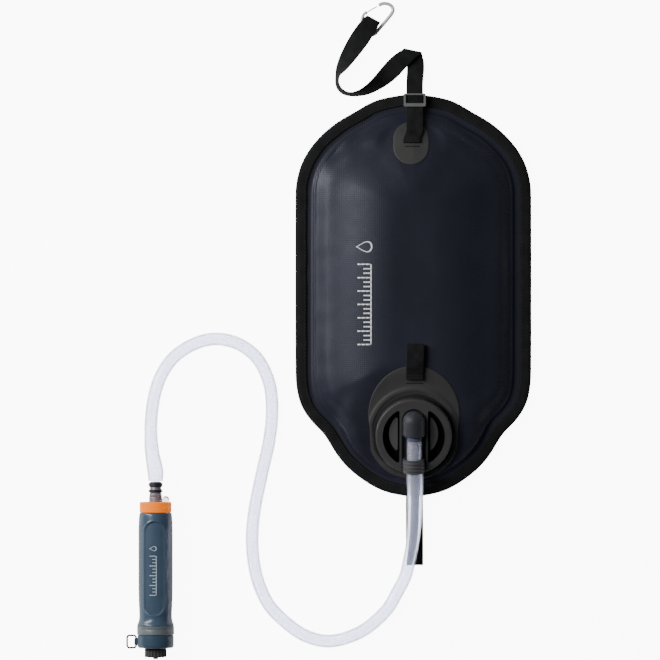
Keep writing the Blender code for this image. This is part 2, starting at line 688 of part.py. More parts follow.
def make_carabiner():
    look = material("carabiner_aluminium", (0.62, 0.62, 0.63), 0.3, 1.0)
    line = [(x, y, CARABINER_Z) for x, y in smooth_line(CARABINER_LINE, 34)]
    radii = [1.0] * 27 + [0.98, 0.95, 0.92, 0.89, 0.86, 0.84, 0.82]
    frame = as_mesh(tube("carabiner_frame", line, CARABINER_RADIUS, look, resolution=2, radii=radii))
    x, y = GATE_HINGE
    boss = rod("hinge_boss", (x, y, CARABINER_Z - 1.45), (x, y, CARABINER_Z + 1.45), 1.75)
    combine(frame, boss, "UNION")
    combine(frame, rod("hinge_hole", (x, y, 0), (x, y, 8), 0.9, segments=16))
    end_x, end_y = GATE_END
    high, low = CARABINER_Z + GATE_HALF_HEIGHT, CARABINER_Z - GATE_HALF_HEIGHT
    wire = [
        (x, y, CARABINER_Z + 0.5), (x, y, high - 0.5), (x + 0.4, y + 0.25, high),
        (end_x - 0.4, end_y - 0.25, high), (end_x, end_y, high - 0.5), (end_x, end_y, low + 0.5),
        (end_x - 0.4, end_y - 0.25, low), (x + 0.4, y + 0.25, low), (x, y, low + 0.5),
        (x, y, CARABINER_Z - 0.5),
    ]
    tube("carabiner_gate", wire, GATE_WIRE, look)


# ---------------------------------------------------------------- hose and filter


def make_hose():
    look = material("hose_silicone", (0.80, 0.82, 0.86), 0.15)
    line = [*smooth_line(HOSE_ROUTE[:-1], HOSE_POINTS), HOSE_ROUTE[-1]]
    tube("hose", line, HOSE_DIAMETER / 2, look, resolution=3)


def make_filter():
    """The inline filter: heights below are Y, because the filter's axis is turned parallel to Y."""
    make_filter_body()
    make_inlet()
    make_cartridge()
    make_outlet()


def make_filter_body():
    look = material("filter_blue", (0.070, 0.103, 0.142), 0.35)
    profile = [
        (12.6, -70.4), (14.3, -70.4), (14.3, -76.1), (16.3, -76.1), (16.9, -82), (17.2, -100),
        (17.2, -150), (16.8, -168), (16.3, -176), (16.6, -182), (18.0, -186.5), (18.65, -188.7),
        (15.2, -188.7), (15.2, -200), (14.2, -200), (14.2, -78), (12.6, -78),
    ]
    body = turned("filter_body", profile, look, FILTER_AXIS, closed=True)
    half = 10.0
    panel = arc((-0.7, -94.5), half, 0, 180, 13) + arc((-0.7, -168.5), half, 180, 360, 13)
    stamp = plate("panel_stamp", panel, FILTER_Z, FILTER_Z + 25, None, None, True)
    stamp.location.x = FILTER_X * MM
    combine(stamp, ring_along("panel_core", 16.1, -205, -60))
    combine(body, stamp)


def make_inlet():
    dark = material("nozzle_plastic", (0.10, 0.11, 0.13), 0.35)
    rubber = material("ring_rubber", (0.025, 0.025, 0.035), 0.6)
    profile = [
        (3.6, -45.0), (5.0, -45.0), (5.5, -46), (5.5, -60.5), (6.0, -60.5), (6.0, -67.5),
        (14.0, -67.5), (14.0, -69.0), (3.6, -69.0),
    ]
    turned("inlet_nozzle", profile, dark, FILTER_AXIS, closed=True)
    ring("nozzle_ring_front", 5.8, 7.1, -50.5, -45.8, rubber, FILTER_AXIS)
    ring("nozzle_ring_rear", 5.8, 7.1, -56.0, -52.5, rubber, FILTER_AXIS)
    ring("inlet_seal", 11.5, 13.8, -70.1, -69.3, rubber, FILTER_AXIS)
    collar = [
        (6.4, -65.2), (14.9, -65.2), (16.0, -66.6), (16.0, -75.8), (14.6, -75.8), (14.6, -67.2),
        (6.4, -67.2),
    ]
    orange = material("collar_orange", (0.87, 0.23, 0.03), 0.4)
    turned("nozzle_collar", collar, orange, FILTER_AXIS, closed=True)
    bm = bmesh.new()
    bmesh.ops.create_uvsphere(bm, u_segments=12, v_segments=8, radius=1.0)
    bmesh.ops.scale(bm, vec=(3.7 * MM, 2.8 * MM, 3.7 * MM), verts=bm.verts)
    bmesh.ops.translate(bm, vec=Vector((FILTER_X + 10.2, -62.1, FILTER_Z)) * MM, verts=bm.verts)
    from_bmesh("air_vent_plug", bm, material("vent_silicone", (0.75, 0.77, 0.8), 0.2))


def make_cartridge():
    white = material("fibre_white", (0.80, 0.80, 0.76), 0.8)
    grey = material("sleeve_plastic", (0.5, 0.5, 0.5), 0.4)
    resin = material("potting_resin", (0.6, 0.55, 0.4), 0.3)
    ring("cartridge_sleeve", 12.6, 13.6, -196, -79, grey, FILTER_AXIS)
    for name, high, low, look in (
        ("inlet_screen", -79.5, -81.5, grey), ("fibre_bundle", -82, -180, white),
        ("potting_disc", -180.4, -190, resin),
    ):
        turned(name, [(0, high), (12.2, high), (12.2, low), (0, low)], look, FILTER_AXIS)


def make_outlet():
    blue = material("cup_blue", (0.034, 0.061, 0.089), 0.35)
    grey = material("ring_grey", (0.095, 0.11, 0.117), 0.3)
    ring("body_ring", 15.5, RING_RADIUS, -198, -189, grey, FILTER_AXIS)
    profile = [
        (15.6, -198.3), (CUP_RADIUS, -198.3), (CUP_RADIUS, -209.4), (16.6, -211.2), (6.35, -211.2),
        (6.35, -204), (15.6, -204),
    ]
    cup = turned("bottom_cup", profile, blue, FILTER_AXIS, closed=True)
    low, high = (-279, -208.4, FILTER_Z - 1.8), (-273.5, -201.2, FILTER_Z + 1.8)
    combine(cup, box("loop_lug", low, high, None, None, True), "UNION")
    start, end = (LOOP_X, -215, FILTER_Z), (LOOP_X, -195, FILTER_Z)
    combine(cup, rod("loop_hole", start, end, 1.0, segments=16))
    make_lanyard_loop()
    seal = material("outlet_rubber", (0.03, 0.03, 0.03), 0.7)
    ring("cup_seal", 12.4, 15.2, -201.1, -200.3, seal, FILTER_AXIS)
    nipple = [
        (3.2, -201.5), (12.0, -201.5), (12.0, -203.6), (6.0, -203.6), (6.0, -216.3), (3.2, -216.3),
    ]
    grey = material("nipple_plastic", (0.3, 0.33, 0.36), 0.4)
    turned("outlet_nipple", nipple, grey, FILTER_AXIS, closed=True)
    ring("plug_seal", 3.6, 6.6, -217.3, -216.6, seal, FILTER_AXIS)
    make_plug()


def make_plug():
    """The fluted outlet plug, with a cavity that fits over the nipple."""
    look = material("plug_black", (0.028, 0.028, 0.027), 0.6)
    flutes = 20
    outline = []
    for step in range(flutes * 3):
        turn = 2 * math.pi * step / (flutes * 3)
        reach = 10.6 + 0.4 * math.cos(flutes * turn)
        outline.append((reach * math.cos(turn), reach * math.sin(turn)))
    plug = plate("outlet_plug", outline, -220.3, -211.5, None, FILTER_AXIS)
    plug.data.materials.append(look)
    combine(plug, ring_along("plug_cavity", 7.0, -217.6, -205))
    nub = [(0, -219), (2.7, -219), (2.7, -222), (2.2, -222.5), (0, -222.5)]
    combine(plug, turned("plug_nub", nub, None, FILTER_AXIS, True), "UNION")


def ring_along(name, radius, low, high):
    return turned(name, [(0, high), (radius, high), (radius, low), (0, low)], None, FILTER_AXIS, True)


def make_lanyard_loop():
    look = material("lanyard_wire", (0.10, 0.12, 0.14), 0.4)
    middle = (LOOP_X - 4.5, -204.8)
    corners = rounded_rectangle(4.5, 6.2, 2.2)
    points = [(middle[0] + x, middle[1] + y, FILTER_Z) for x, y in corners]
    tube("lanyard_loop", points, 0.65, look, closed=True)


# ---------------------------------------------------------------- build

clear_scene()
PARTS = collection_named(COLLECTION)
CUTTERS = collection_named("cutters")
EDGE = whole_outline(260)
CAP_AXIS = empty_at("cap_axis", CAP_SEAT, (CAP_TILT, 0, 0))
FILTER_AXIS = empty_at("filter_axis", (FILTER_X, 0, FILTER_Z), (math.radians(-90), 0, 0))

make_bag()
make_cap()
make_webbing()
make_slider()
make_carabiner()
make_hose()
make_filter()
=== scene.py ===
"""Looks of the gravity water filter kit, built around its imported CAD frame.

Places and sizes are in millimetres in the part's own frame, and MM turns them into metres.
"""

import json
import math

import bmesh
import bpy
import numpy as np
from mathutils import Matrix, Vector


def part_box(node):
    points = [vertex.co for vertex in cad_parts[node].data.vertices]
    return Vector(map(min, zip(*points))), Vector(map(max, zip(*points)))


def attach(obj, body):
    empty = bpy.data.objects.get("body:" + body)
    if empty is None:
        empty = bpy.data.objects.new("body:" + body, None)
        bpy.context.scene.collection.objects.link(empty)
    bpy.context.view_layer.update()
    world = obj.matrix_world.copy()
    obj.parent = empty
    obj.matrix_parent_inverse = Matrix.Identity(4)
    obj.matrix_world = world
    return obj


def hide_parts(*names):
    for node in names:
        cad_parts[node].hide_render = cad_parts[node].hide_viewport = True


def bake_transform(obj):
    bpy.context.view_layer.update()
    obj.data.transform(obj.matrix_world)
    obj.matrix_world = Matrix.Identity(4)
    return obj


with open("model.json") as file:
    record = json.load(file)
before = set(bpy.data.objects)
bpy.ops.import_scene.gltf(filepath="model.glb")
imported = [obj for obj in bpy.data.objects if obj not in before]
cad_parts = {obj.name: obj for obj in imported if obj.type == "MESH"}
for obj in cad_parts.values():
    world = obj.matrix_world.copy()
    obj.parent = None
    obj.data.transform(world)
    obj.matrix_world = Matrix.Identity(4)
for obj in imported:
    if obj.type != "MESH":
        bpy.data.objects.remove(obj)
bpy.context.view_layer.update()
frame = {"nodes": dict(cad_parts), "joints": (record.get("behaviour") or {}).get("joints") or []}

MM = 0.001
JOINTS = {joint["name"]: joint for joint in frame["joints"]}

# Bag: the same outline, dome and cap seat as in the CAD
HALF_OUTLINE = [
    (0, 343), (36, 336.5), (58, 324.5), (78.5, 312.5), (98, 294.5), (111, 274.5), (116.5, 254.5),
    (117.5, 235), (117.5, 80), (116.6, 50), (112, 31), (101, 14.5), (89, 3), (78, -15.5), (66, -30.5),
    (47, -45.5), (27, -55.5), (0, -60.5),
]
OUTLINE_EVENING = 70  # rounds that smooth the outline
FLANGE_WIDTH = 15.0
FLANGE_Z = 6.8
BACK_FLANGE_Z = 5.4
DOME_RISE = 27.0
DOME_REACH = 85.0
DOME_EDGE = 13.0
BACK_FLAT_REACH = 25.0
SEAT_RADIUS = 50.0
SEAT_FADE_RADIUS = 82.0
SEAM_INSIDE = 18.5  # from the bag's edge to the weld bead
BINDING_WIDTH = 11.6
FRONT_INSETS = [1.6, 5, 9, 11.5, 13, 14.5, 16, 17, 17.8, 18.5, 19.2, 20, 21, 22.5, 24.5]
BACK_INSETS = [1.6, 6, 12, 16, 20, 24.5]
SEAM_INSET, SEAM_Z = 9.2, 8.45  # of the binding's stitches
SHOULDER_INSIDE = 30.0  # where the filled bag is fullest near its edge
SHOULDER_RISE = 2.2

# Fill cap: heights are above its seat
CAP_SEAT = Vector(JOINTS["fill_cap_turn"]["pos_m"]) / MM
CAP_TILT = math.asin(-JOINTS["fill_cap_turn"]["axis"][1])
CAP_AXIS = Matrix.Translation(CAP_SEAT) @ Matrix.Rotation(CAP_TILT, 4, "X")
CAP_RADIUS = 38.0
CAP_TOP = 15.0
WELL_RADIUS = 31.0
PAD_RADIUS = 24.6
PAD_SHIFT = 1.8  # of the finger pads towards the strap
HOSE_AXIS_Z = 17.4
HOSE_AXIS = CAP_AXIS @ Matrix.Translation((0, 0, HOSE_AXIS_Z)) @ Matrix.Rotation(math.radians(90), 4, "X")

# Filter: its axis is parallel to Y, and heights along it are Y
FILTER_X, _, FILTER_Z = Vector(JOINTS["collar_turn"]["pos_m"]) / MM
GRIP_RADIUS = 17.2
PANEL_X = FILTER_X - 0.7
PANEL_HALF_WIDTH = 10.0
PANEL_HIGH, PANEL_LOW = -94.5, -168.5  # centres of the panel's round ends
FILTER_TURN = Matrix.Rotation(math.radians(-90), 4, "X")
FILTER_AXIS = Matrix.Translation((FILTER_X, 0, FILTER_Z)) @ FILTER_TURN

# Hose: the same route as in the CAD
HOSE_ROUTE = [
    (0.7, 1.05, 35.35), (0.8, -20.1, 30.9), (1.2, -37.7, 27.1), (1.6, -50, 24.2), (1.5, -63.5, 20.2),
    (1.3, -78, 15.9), (0.6, -93.5, 12.0), (-1, -108.5, 9.4), (-4, -123.5, 8.3), (-8, -140, 7.1),
    (-15.5, -155, 6.8), (-26.5, -173.5, 6.8), (-46, -191.5, 6.8), (-65, -201, 6.8), (-84, -205, 6.8),
    (-102, -202, 6.8), (-119, -193.3, 6.8), (-141, -173.5, 6.8), (-152.5, -153.5, 6.8),
    (-159, -131, 6.8), (-161.5, -104, 6.8), (-159, -73.5, 6.8), (-151.5, -36.5, 6.8),
    (-144.5, -5, 6.8), (-141.5, 24, 6.8), (-144, 52, 6.8), (-155.5, 77, 6.8), (-174, 92, 6.8),
    (-196.5, 97.5, 6.8), (-218.5, 93, 6.8), (-239, 80, 6.8), (-252, 62, 6.8), (-259, 42, 6.8),
    (-262.3, 20, 7.6), (-262.7, 0, 10.4), (-261.4, -16, 14.2), (-258.8, -30, 17.6),
    (-257.8, -37.5, 18.6), (-257.8, -44.4, 18.7),
]
HOSE_POINTS = 330
HOSE_WALL = 2.0
HOSE_ON_BARB = 9.5  # how far from its first point the hose shows the barb inside it

# Carabiner: the same line as in the CAD
CARABINER_Z = 3.6
CARABINER_LINE = [
    (-34.8, 431.6), (-31.8, 433.2), (-28.4, 433.6), (-24.6, 432.8), (-21.4, 430.4), (-20.3, 426.8),
    (-22.0, 423.0), (-26.2, 417.6), (-31.1, 411.8), (-36.0, 406.1), (-38.9, 403.2), (-42.8, 401.9),
    (-47.0, 403.3), (-50.0, 407.2), (-51.2, 412.5), (-51.2, 418.2), (-49.9, 422.2), (-48.3, 424.2),
]
GATE_TIP = (-36.9, 430.4)

# Webbing
STITCH_SHARE = 0.66  # of its pitch that a stitch shows
STRAP_THICKNESS = 1.2
PATCH_RISE = 1.5
PATCH_THICKNESS = 0.9
STRAP_RISE = 1.5

# ---------------------------------------------------------------- camera, light and floor

VIEW_CENTRE = Vector((-83.5, 106.5, 0))
VIEW_WIDTH = 660.0
CAMERA_HEIGHT = 6000.0
FOCUS_HEIGHT = 15.0
FLOOR_GLOW = 9.0  # as the camera sees the floor
FLOOR_GLOW_THROUGH = 11.0  # as it is seen through the clear hose
FLOOR_GLOW_AROUND = 0.5
SKY_COLOUR = (0.86, 0.9, 1.0, 1)
SKY_STRENGTH = 0.06
LIGHTS = (  # name, place and aim in metres, size, watts, colour, whether it shows in reflections
    ("key", (-1.7, 0.7, 1.15), (-0.05, 0.12, 0), (0.30, 2.0), 36, (1, 1, 1), True),
    ("overhead", (-1.2, 0.6, 1.9), (-0.05, 0.1, 0), (1.6, 1.2), 28, (0.95, 0.97, 1.0), False),
)


def linked(name, data):
    made = bpy.data.objects.new(name, data)
    bpy.context.scene.collection.objects.link(made)
    return made


def make_camera():
    data = bpy.data.cameras.new("camera")
    data.sensor_width = 36
    data.lens = 36 * (CAMERA_HEIGHT - FOCUS_HEIGHT) / VIEW_WIDTH
    data.clip_end = 20
    camera = linked("camera", data)
    camera.location = (VIEW_CENTRE + Vector((0, 0, CAMERA_HEIGHT))) * MM
    bpy.context.scene.camera = camera


def make_light(name, place, aim, size, power, colour, in_reflections):
    data = bpy.data.lights.new(name, "AREA")
    data.shape = "ELLIPSE"
    data.size, data.size_y = size
    data.energy = power
    data.color = colour
    light = linked(name, data)
    light.visible_glossy = in_reflections
    light.visible_transmission = False
    light.location = place
    light.rotation_euler = (Vector(aim) - Vector(place)).to_track_quat("-Z", "Y").to_euler()


def make_stage():
    make_camera()
    world = bpy.data.worlds.new("studio")
    bpy.context.scene.world = world
    world.use_nodes = True
    sky = world.node_tree.nodes["Background"].inputs
    sky["Color"].default_value = SKY_COLOUR
    sky["Strength"].default_value = SKY_STRENGTH
    for light in LIGHTS:
        make_light(*light)
    bm = bmesh.new()
    bmesh.ops.create_grid(bm, x_segments=1, y_segments=1, size=6)
    mesh = bpy.data.meshes.new("floor")
    bm.to_mesh(mesh)
    bm.free()
    floor = linked("floor", mesh)
    floor.location.z = -0.0003
    look = bpy.data.materials.new("floor")
    look.use_nodes = True
    nodes, links = look.node_tree.nodes, look.node_tree.links
    shader = nodes["Principled BSDF"]
    shader.inputs["Base Color"].default_value = (0.9, 0.9, 0.9, 1)
    shader.inputs["Roughness"].default_value = 0.7
    shader.inputs["Emission Color"].default_value = (1, 1, 1, 1)
    path = nodes.new("ShaderNodeLightPath")
    seen, through = nodes.new("ShaderNodeMath"), nodes.new("ShaderNodeMath")
    for node, ray, glow in (
        (seen, "Is Camera Ray", FLOOR_GLOW), (through, "Is Transmission Ray", FLOOR_GLOW_THROUGH),
    ):
        node.operation = "MULTIPLY_ADD"
        node.inputs[1].default_value = glow
        links.new(path.outputs[ray], node.inputs[0])
    through.inputs[2].default_value = FLOOR_GLOW_AROUND
    links.new(through.outputs[0], seen.inputs[2])
    links.new(seen.outputs[0], shader.inputs["Emission Strength"])
    look.cycles.emission_sampling = "NONE"
    mesh.materials.append(look)


# ---------------------------------------------------------------- mesh helpers


def as_object(name, bm, look=None, smooth=35):
    bmesh.ops.recalc_face_normals(bm, faces=bm.faces)
    mesh = bpy.data.meshes.new(name)
    bm.to_mesh(mesh)
    bm.free()
    return finished(name, mesh, look, smooth)


def smoothed(mesh, angle):
    """Smooth shading, but for the edges that are sharper than the angle in degrees."""
    mesh.shade_smooth()
    mesh.set_sharp_from_angle(angle=math.radians(angle))


def painted(mesh, look):
    mesh.materials.clear()
    mesh.materials.append(look)


def finished(name, mesh, look=None, smooth=35):
    smoothed(mesh, smooth)
    if look:
        painted(mesh, look)
    return linked(name, mesh)


def apply_modifiers(thing):
    bpy.context.view_layer.update()
    graph = bpy.context.evaluated_depsgraph_get()
    mesh = bpy.data.meshes.new_from_object(thing.evaluated_get(graph))
    thing.modifiers.clear()
    thing.data = mesh
    return thing


def loft(name, rings, look=None, caps=True, smooth=35):
    """Skin through closed loops of points with the same count."""
    bm = bmesh.new()
    loops = [[bm.verts.new(Vector(point) * MM) for point in ring] for ring in rings]
    size = len(loops[0])
    for one, two in zip(loops, loops[1:]):
        for k in range(size):
            after = (k + 1) % size
            bm.faces.new((one[k], one[after], two[after], two[k]))
    if caps:
        bm.faces.new(loops[0])
        bm.faces.new(loops[-1])
    return as_object(name, bm, look, smooth)


def lathe(name, profile, axis, steps=128, closed=False, look=None):
    """A profile of (radius, height) turned about the axis matrix's z."""
    bm = bmesh.new()
    columns = []
    for step in range(steps):
        turn = 2 * math.pi * step / steps
        spots = [Vector((r * math.cos(turn), r * math.sin(turn), z)) for r, z in profile]
        columns.append([bm.verts.new(axis @ spot * MM) for spot in spots])
    last = len(profile) if closed else len(profile) - 1
    for one, two in zip(columns, columns[1:] + columns[:1]):
        for k in range(last):
            after = (k + 1) % len(profile)
            bm.faces.new((one[k], two[k], two[after], one[after]))
    bmesh.ops.remove_doubles(bm, verts=bm.verts, dist=0.000002)
    return as_object(name, bm, look)


def welded(thing):
    """Merges the points that lie on each other, and turns the faces outwards."""
    bm = bmesh.new()
    bm.from_mesh(thing.data)
    bmesh.ops.remove_doubles(bm, verts=bm.verts, dist=0.000001)
    bmesh.ops.recalc_face_normals(bm, faces=bm.faces)
    bm.to_mesh(thing.data)
    bm.free()
    return thing


def prism(name, outline, low, high, axis=Matrix.Identity(4), look=None):
    """A flat outline, from height low to high along the axis matrix's z."""
    rings = [[axis @ Vector((x, y, z)) for x, y in outline] for z in (low, high)]
    return loft(name, rings, look)


def combine(target, other, operation="DIFFERENCE"):
    modifier = target.modifiers.new(operation, "BOOLEAN")
    modifier.operation = operation
    modifier.object = other
    apply_modifiers(target)
    bpy.data.objects.remove(other)
    return target


def thickened(thing, thickness, offset):
    modifier = thing.modifiers.new("sheet", "SOLIDIFY")
    modifier.thickness = thickness * MM
    modifier.offset = offset
    return apply_modifiers(thing)


def bevel(thing, width, angle=38):
    modifier = thing.modifiers.new("edges", "BEVEL")
    modifier.width = width * MM
    modifier.segments = 3
    modifier.limit_method = "ANGLE"
    modifier.angle_limit = math.radians(angle)
    modifier.harden_normals = True
    apply_modifiers(thing)
    thing.data.shade_smooth()
    return thing


def softened(node, width):
    """A copy of a CAD node with rounded edges."""
    mesh = frame["nodes"][node].data.copy()
    bm = bmesh.new()
    bm.from_mesh(mesh)
    bmesh.ops.remove_doubles(bm, verts=bm.verts, dist=0.000005)
    bmesh.ops.dissolve_limit(bm, angle_limit=math.radians(1), verts=bm.verts, edges=bm.edges)
    bm.to_mesh(mesh)
    bm.free()
    return bevel(finished(node + "_detail", mesh), width, 35)


def arc(centre, radius, start, end, count):
    turns = np.radians(np.linspace(start, end, count))
    return [(centre[0] + radius * math.cos(t), centre[1] + radius * math.sin(t)) for t in turns]


def rounded_rectangle(half_x, half_y, radius, count=8):
    points = []
    for x, y, start in ((1, 1, 0), (-1, 1, 90), (-1, -1, 180), (1, -1, 270)):
        middle = (x * (half_x - radius), y * (half_y - radius))
        points += arc(middle, radius, start, start + 90, count)
    return points


def catmull_rom(knots, steps):
    """A curve with the same number of steps between each two knots."""
    knots = np.array(knots, float)
    padded = np.vstack([2 * knots[0] - knots[1], knots, 2 * knots[-1] - knots[-2]])
    line = []
    for a, b, c, d in zip(padded, padded[1:], padded[2:], padded[3:]):
        for t in np.linspace(0, 1, steps, endpoint=False):
            line.append(
                0.5 * (2 * b + (c - a) * t + (2 * a - 5 * b + 4 * c - d) * t**2
                       + (3 * b - a - 3 * c + d) * t**3)
            )
    return np.array(line + [knots[-1]])


def run_lengths(line):
    return np.concatenate([[0], np.cumsum(np.linalg.norm(np.diff(line, axis=0), axis=1))])


def smooth_line(knots, count):
    """Count points, evenly spaced, on a smooth curve through the knots."""
    dense = catmull_rom(knots, 24)
    along = run_lengths(dense)
    even = np.linspace(0, along[-1], count)
    return np.stack([np.interp(even, along, dense[:, k]) for k in range(dense.shape[1])], axis=1)


def evened(rows, rounds):
    """Rows averaged with their neighbours, round after round, the first and last kept."""
    for _ in range(rounds):
        rows[1:-1] = (rows[:-2] + 2 * rows[1:-1] + rows[2:]) / 4
    return rows


def unit(rows):
    return rows / np.linalg.norm(rows, axis=1)[:, None]


def smooth_step(value):
    value = np.clip(value, 0, 1)
    return value * value * (3 - 2 * value)


def cross_frames(line, closed=False):
    """(side, up) at each point of a line, turned as little as possible from one to the next."""
    line = np.array(line, float)
    if closed:
        run = np.roll(line, -1, axis=0) - np.roll(line, 1, axis=0)
    else:
        run = np.gradient(line, axis=0)
    run = unit(run)
    up = np.array((0, 0, 1.0))
    if abs(run[0] @ up) > 0.9:
        up = np.array((1.0, 0, 0))
    frames = []
    for ahead in run:
        side = np.cross(ahead, up)
        side /= np.linalg.norm(side)
        up = np.cross(side, ahead)
        frames.append((side, up))
    return frames


def tube_rings(line, radii, segments, closed=False):
    """A circle of points round each point of a line."""
    turns = np.linspace(0, 2 * math.pi, segments, endpoint=False)
    return [
        [point + radius * (side * math.cos(t) + up * math.sin(t)) for t in turns]
        for point, (side, up), radius in zip(line, cross_frames(line, closed), radii)
    ]


def wire(name, line, radii, segments, closed=False):
    """A round bar along a line, with one radius or a radius for each point."""
    rings = tube_rings(line, np.broadcast_to(radii, (len(line),)), segments, closed)
    if closed:
        rings.append(rings[0])
    made = loft(name, rings, caps=not closed, smooth=50)
    return welded(made) if closed else made


# ---------------------------------------------------------------- materials


class Look:
    """A Principled material whose nodes are added one by one."""

    def __init__(self, name, colour, roughness, **sockets):
        self.material = bpy.data.materials.new(name)
        self.material.use_nodes = True
        self.nodes = self.material.node_tree.nodes
        self.links = self.material.node_tree.links
        self.shader = self.nodes["Principled BSDF"]
        self.colour = colour
        self.set("Base Color", (*colour, 1))
        self.set("Roughness", roughness)
        for socket, value in sockets.items():
            self.set(socket.replace("_", " "), value)
        self.coordinates = self.nodes.new("ShaderNodeTexCoord").outputs["Object"]
        self.height = None

    def set(self, socket, value):
        self.shader.inputs[socket].default_value = value

    def add(self, kind, **settings):
        node = self.nodes.new(kind)
        for key, value in settings.items():
            if key in node.inputs:
                node.inputs[key].default_value = value
            else:
                setattr(node, key, value)
        return node

    def noise(self, pitch, detail, stretch=None):
        """Noise whose features are about pitch millimetres across."""
        texture = self.add("ShaderNodeTexNoise", Scale=1 / (pitch * MM), Detail=detail)
        source = self.coordinates
        if stretch:
            mapping = self.add("ShaderNodeMapping", Scale=stretch)
            self.links.new(source, mapping.inputs["Vector"])
            source = mapping.outputs["Vector"]
        self.links.new(source, texture.inputs["Vector"])
        return texture.outputs["Fac"]

    def waves(self, pitch, direction="X", source=None, distortion=0.0):
        """Parallel waves with one crest every pitch millimetres."""
        texture = self.add(
            "ShaderNodeTexWave", bands_direction=direction, Scale=math.pi / 10 / (pitch * MM),
            Distortion=distortion,
        )
        texture.inputs["Detail Scale"].default_value = 2.0
        self.links.new(source or self.coordinates, texture.inputs["Vector"])
        return texture.outputs["Fac"]

    def mapped(self, source, low, high, from_low=0.3, from_high=0.7):
        node = self.nodes.new("ShaderNodeMapRange")
        for socket, value in (
            ("From Min", from_low), ("From Max", from_high), ("To Min", low), ("To Max", high),
        ):
            node.inputs[socket].default_value = value
        self.links.new(source, node.inputs["Value"])
        return node.outputs["Result"]

    def joined(self, operation, first, second):
        node = self.add("ShaderNodeMath", operation=operation)
        self.links.new(first, node.inputs[0])
        self.links.new(second, node.inputs[1])
        return node.outputs[0]

    def shaded(self, amount, first, second):
        """Base colour that runs from the first colour to the second."""
        mix = self.add("ShaderNodeMix", data_type="RGBA")
        mix.inputs[6].default_value = (*first, 1)
        mix.inputs[7].default_value = (*second, 1)
        self.links.new(amount, mix.inputs[0])
        self.links.new(mix.outputs[2], self.shader.inputs["Base Color"])

    def blotches(self, source, dark, light):
        """Base colour that runs from the colour times dark to the colour times light."""
        shades = [[min(part * share, 1) for part in self.colour] for share in (dark, light)]
        self.shaded(self.mapped(source, 0, 1), *shades)

    def shine(self, source, low, high):
        self.links.new(self.mapped(source, low, high), self.shader.inputs["Roughness"])

    def relief(self, source, depth, strength=1.0):
        """Adds a bump of depth millimetres on top of those already there."""
        bump = self.add("ShaderNodeBump", Strength=strength, Distance=depth * MM)
        self.links.new(source, bump.inputs["Height"])
        if self.height:
            self.links.new(self.height, bump.inputs["Normal"])
        self.height = bump.outputs["Normal"]
        self.links.new(self.height, self.shader.inputs["Normal"])


def moulded(name, colour, roughness, grain=0.6, depth=0.02, uneven=0.055, flow=7, **sockets):
    """Moulded plastic: fine grain, faint flow marks and a slightly uneven gloss."""
    look = Look(name, colour, roughness, **sockets)
    look.blotches(look.noise(18, 2.0), 0.93, 1.07)
    look.shine(look.noise(flow, 2.0), roughness - uneven, roughness + uneven)
    look.relief(look.noise(grain, 2.0), depth)
    return look.material


def rubbery(name, colour, roughness):
    """Soft matt rubber, with a fine grain on slow waves."""
    look = Look(name, colour, roughness, Specular_IOR_Level=0.4)
    look.blotches(look.noise(24, 3.0), 0.9, 1.1)
    look.shine(look.noise(9, 3.0), roughness - 0.06, roughness + 0.06)
    look.relief(look.noise(0.9, 2.0), 0.06)
    look.relief(look.noise(6, 2.0), 0.10)
    return look.material


def bag_look():
    """Coated fabric: a plain weave under a smooth satin coat, with slight changes of shade."""
    look = Look("bag_fabric", (0.0195, 0.0200, 0.0305), 0.42, Specular_IOR_Level=0.4)
    look.set("Specular Tint", (0.85, 0.88, 1.0, 1))
    across, along = (look.waves(2.1, direction, distortion=0.4) for direction in "XY")
    weave = look.joined("ADD", across, along)
    weave = look.joined("ADD", weave, look.noise(1.6, 2.0))
    look.blotches(look.noise(60, 4.0), 0.88, 1.12)
    look.shine(look.noise(14, 4.0), 0.39, 0.46)
    look.relief(weave, 0.05, 0.8)
    return look.material


def binding_look():
    """Woven tape that isn't laid along one direction: a fine twill from object coordinates."""
    look = Look("binding_tape", (0.0095, 0.0095, 0.0100), 0.8, Specular_IOR_Level=0.3)
    weave = look.joined("MULTIPLY", look.waves(0.9, "DIAGONAL"), look.waves(0.9, "X"))
    look.blotches(look.noise(12, 4.0), 0.75, 1.3)
    look.relief(weave, 0.12, 0.9)
    look.relief(look.noise(2.2, 3.0), 0.08)
    return look.material


def webbing_look():
    """Nylon webbing: ribs across the strap and a herringbone along it, from the strap's own UVs."""
    look = Look("webbing", (0.0130, 0.0130, 0.0134), 0.85, Specular_IOR_Level=0.15)
    uv = look.add("ShaderNodeUVMap", uv_map="strap").outputs["UV"]
    ribs = look.waves(1.15, "Y", uv)
    threads = look.waves(1.7, "X", uv)
    look.blotches(look.noise(9, 4.0), 0.7, 1.4)
    look.relief(ribs, 0.22, 0.9)
    look.relief(threads, 0.10, 0.7)
    return look.material


def orange_look():
    """Signal orange, with a painted glow: an emission that makes it brighter than the lamps light it."""
    look = Look("collar_orange", (0.95, 0.21, 0.0), 0.40, Specular_IOR_Level=0.15)
    # Painted light: this emission makes the collar glow, though it is no lamp.
    look.set("Emission Color", (1.0, 0.19, 0.0, 1))
    look.set("Emission Strength", 0.55)
    look.shine(look.noise(7, 3.0), 0.30, 0.42)
    look.relief(look.noise(0.6, 2.0), 0.02)
    return look.material


def hose_look():
    """Milky clear silicone: mostly transmitting, and greyer where it is seen edge on."""
    look = Look("hose_clear", (0.80, 0.83, 0.95), 0.14, IOR=1.41, Transmission_Weight=0.74)
    facing = look.add("ShaderNodeLayerWeight", Blend=0.5).outputs["Facing"]
    look.shaded(look.mapped(facing, 0, 1, 0.35, 0.95), (0.85, 0.87, 0.99), (0.48, 0.49, 0.60))
    look.shine(look.noise(16, 3.0), 0.10, 0.20)
    look.relief(look.noise(11, 2.0), 0.05)
    return look.material


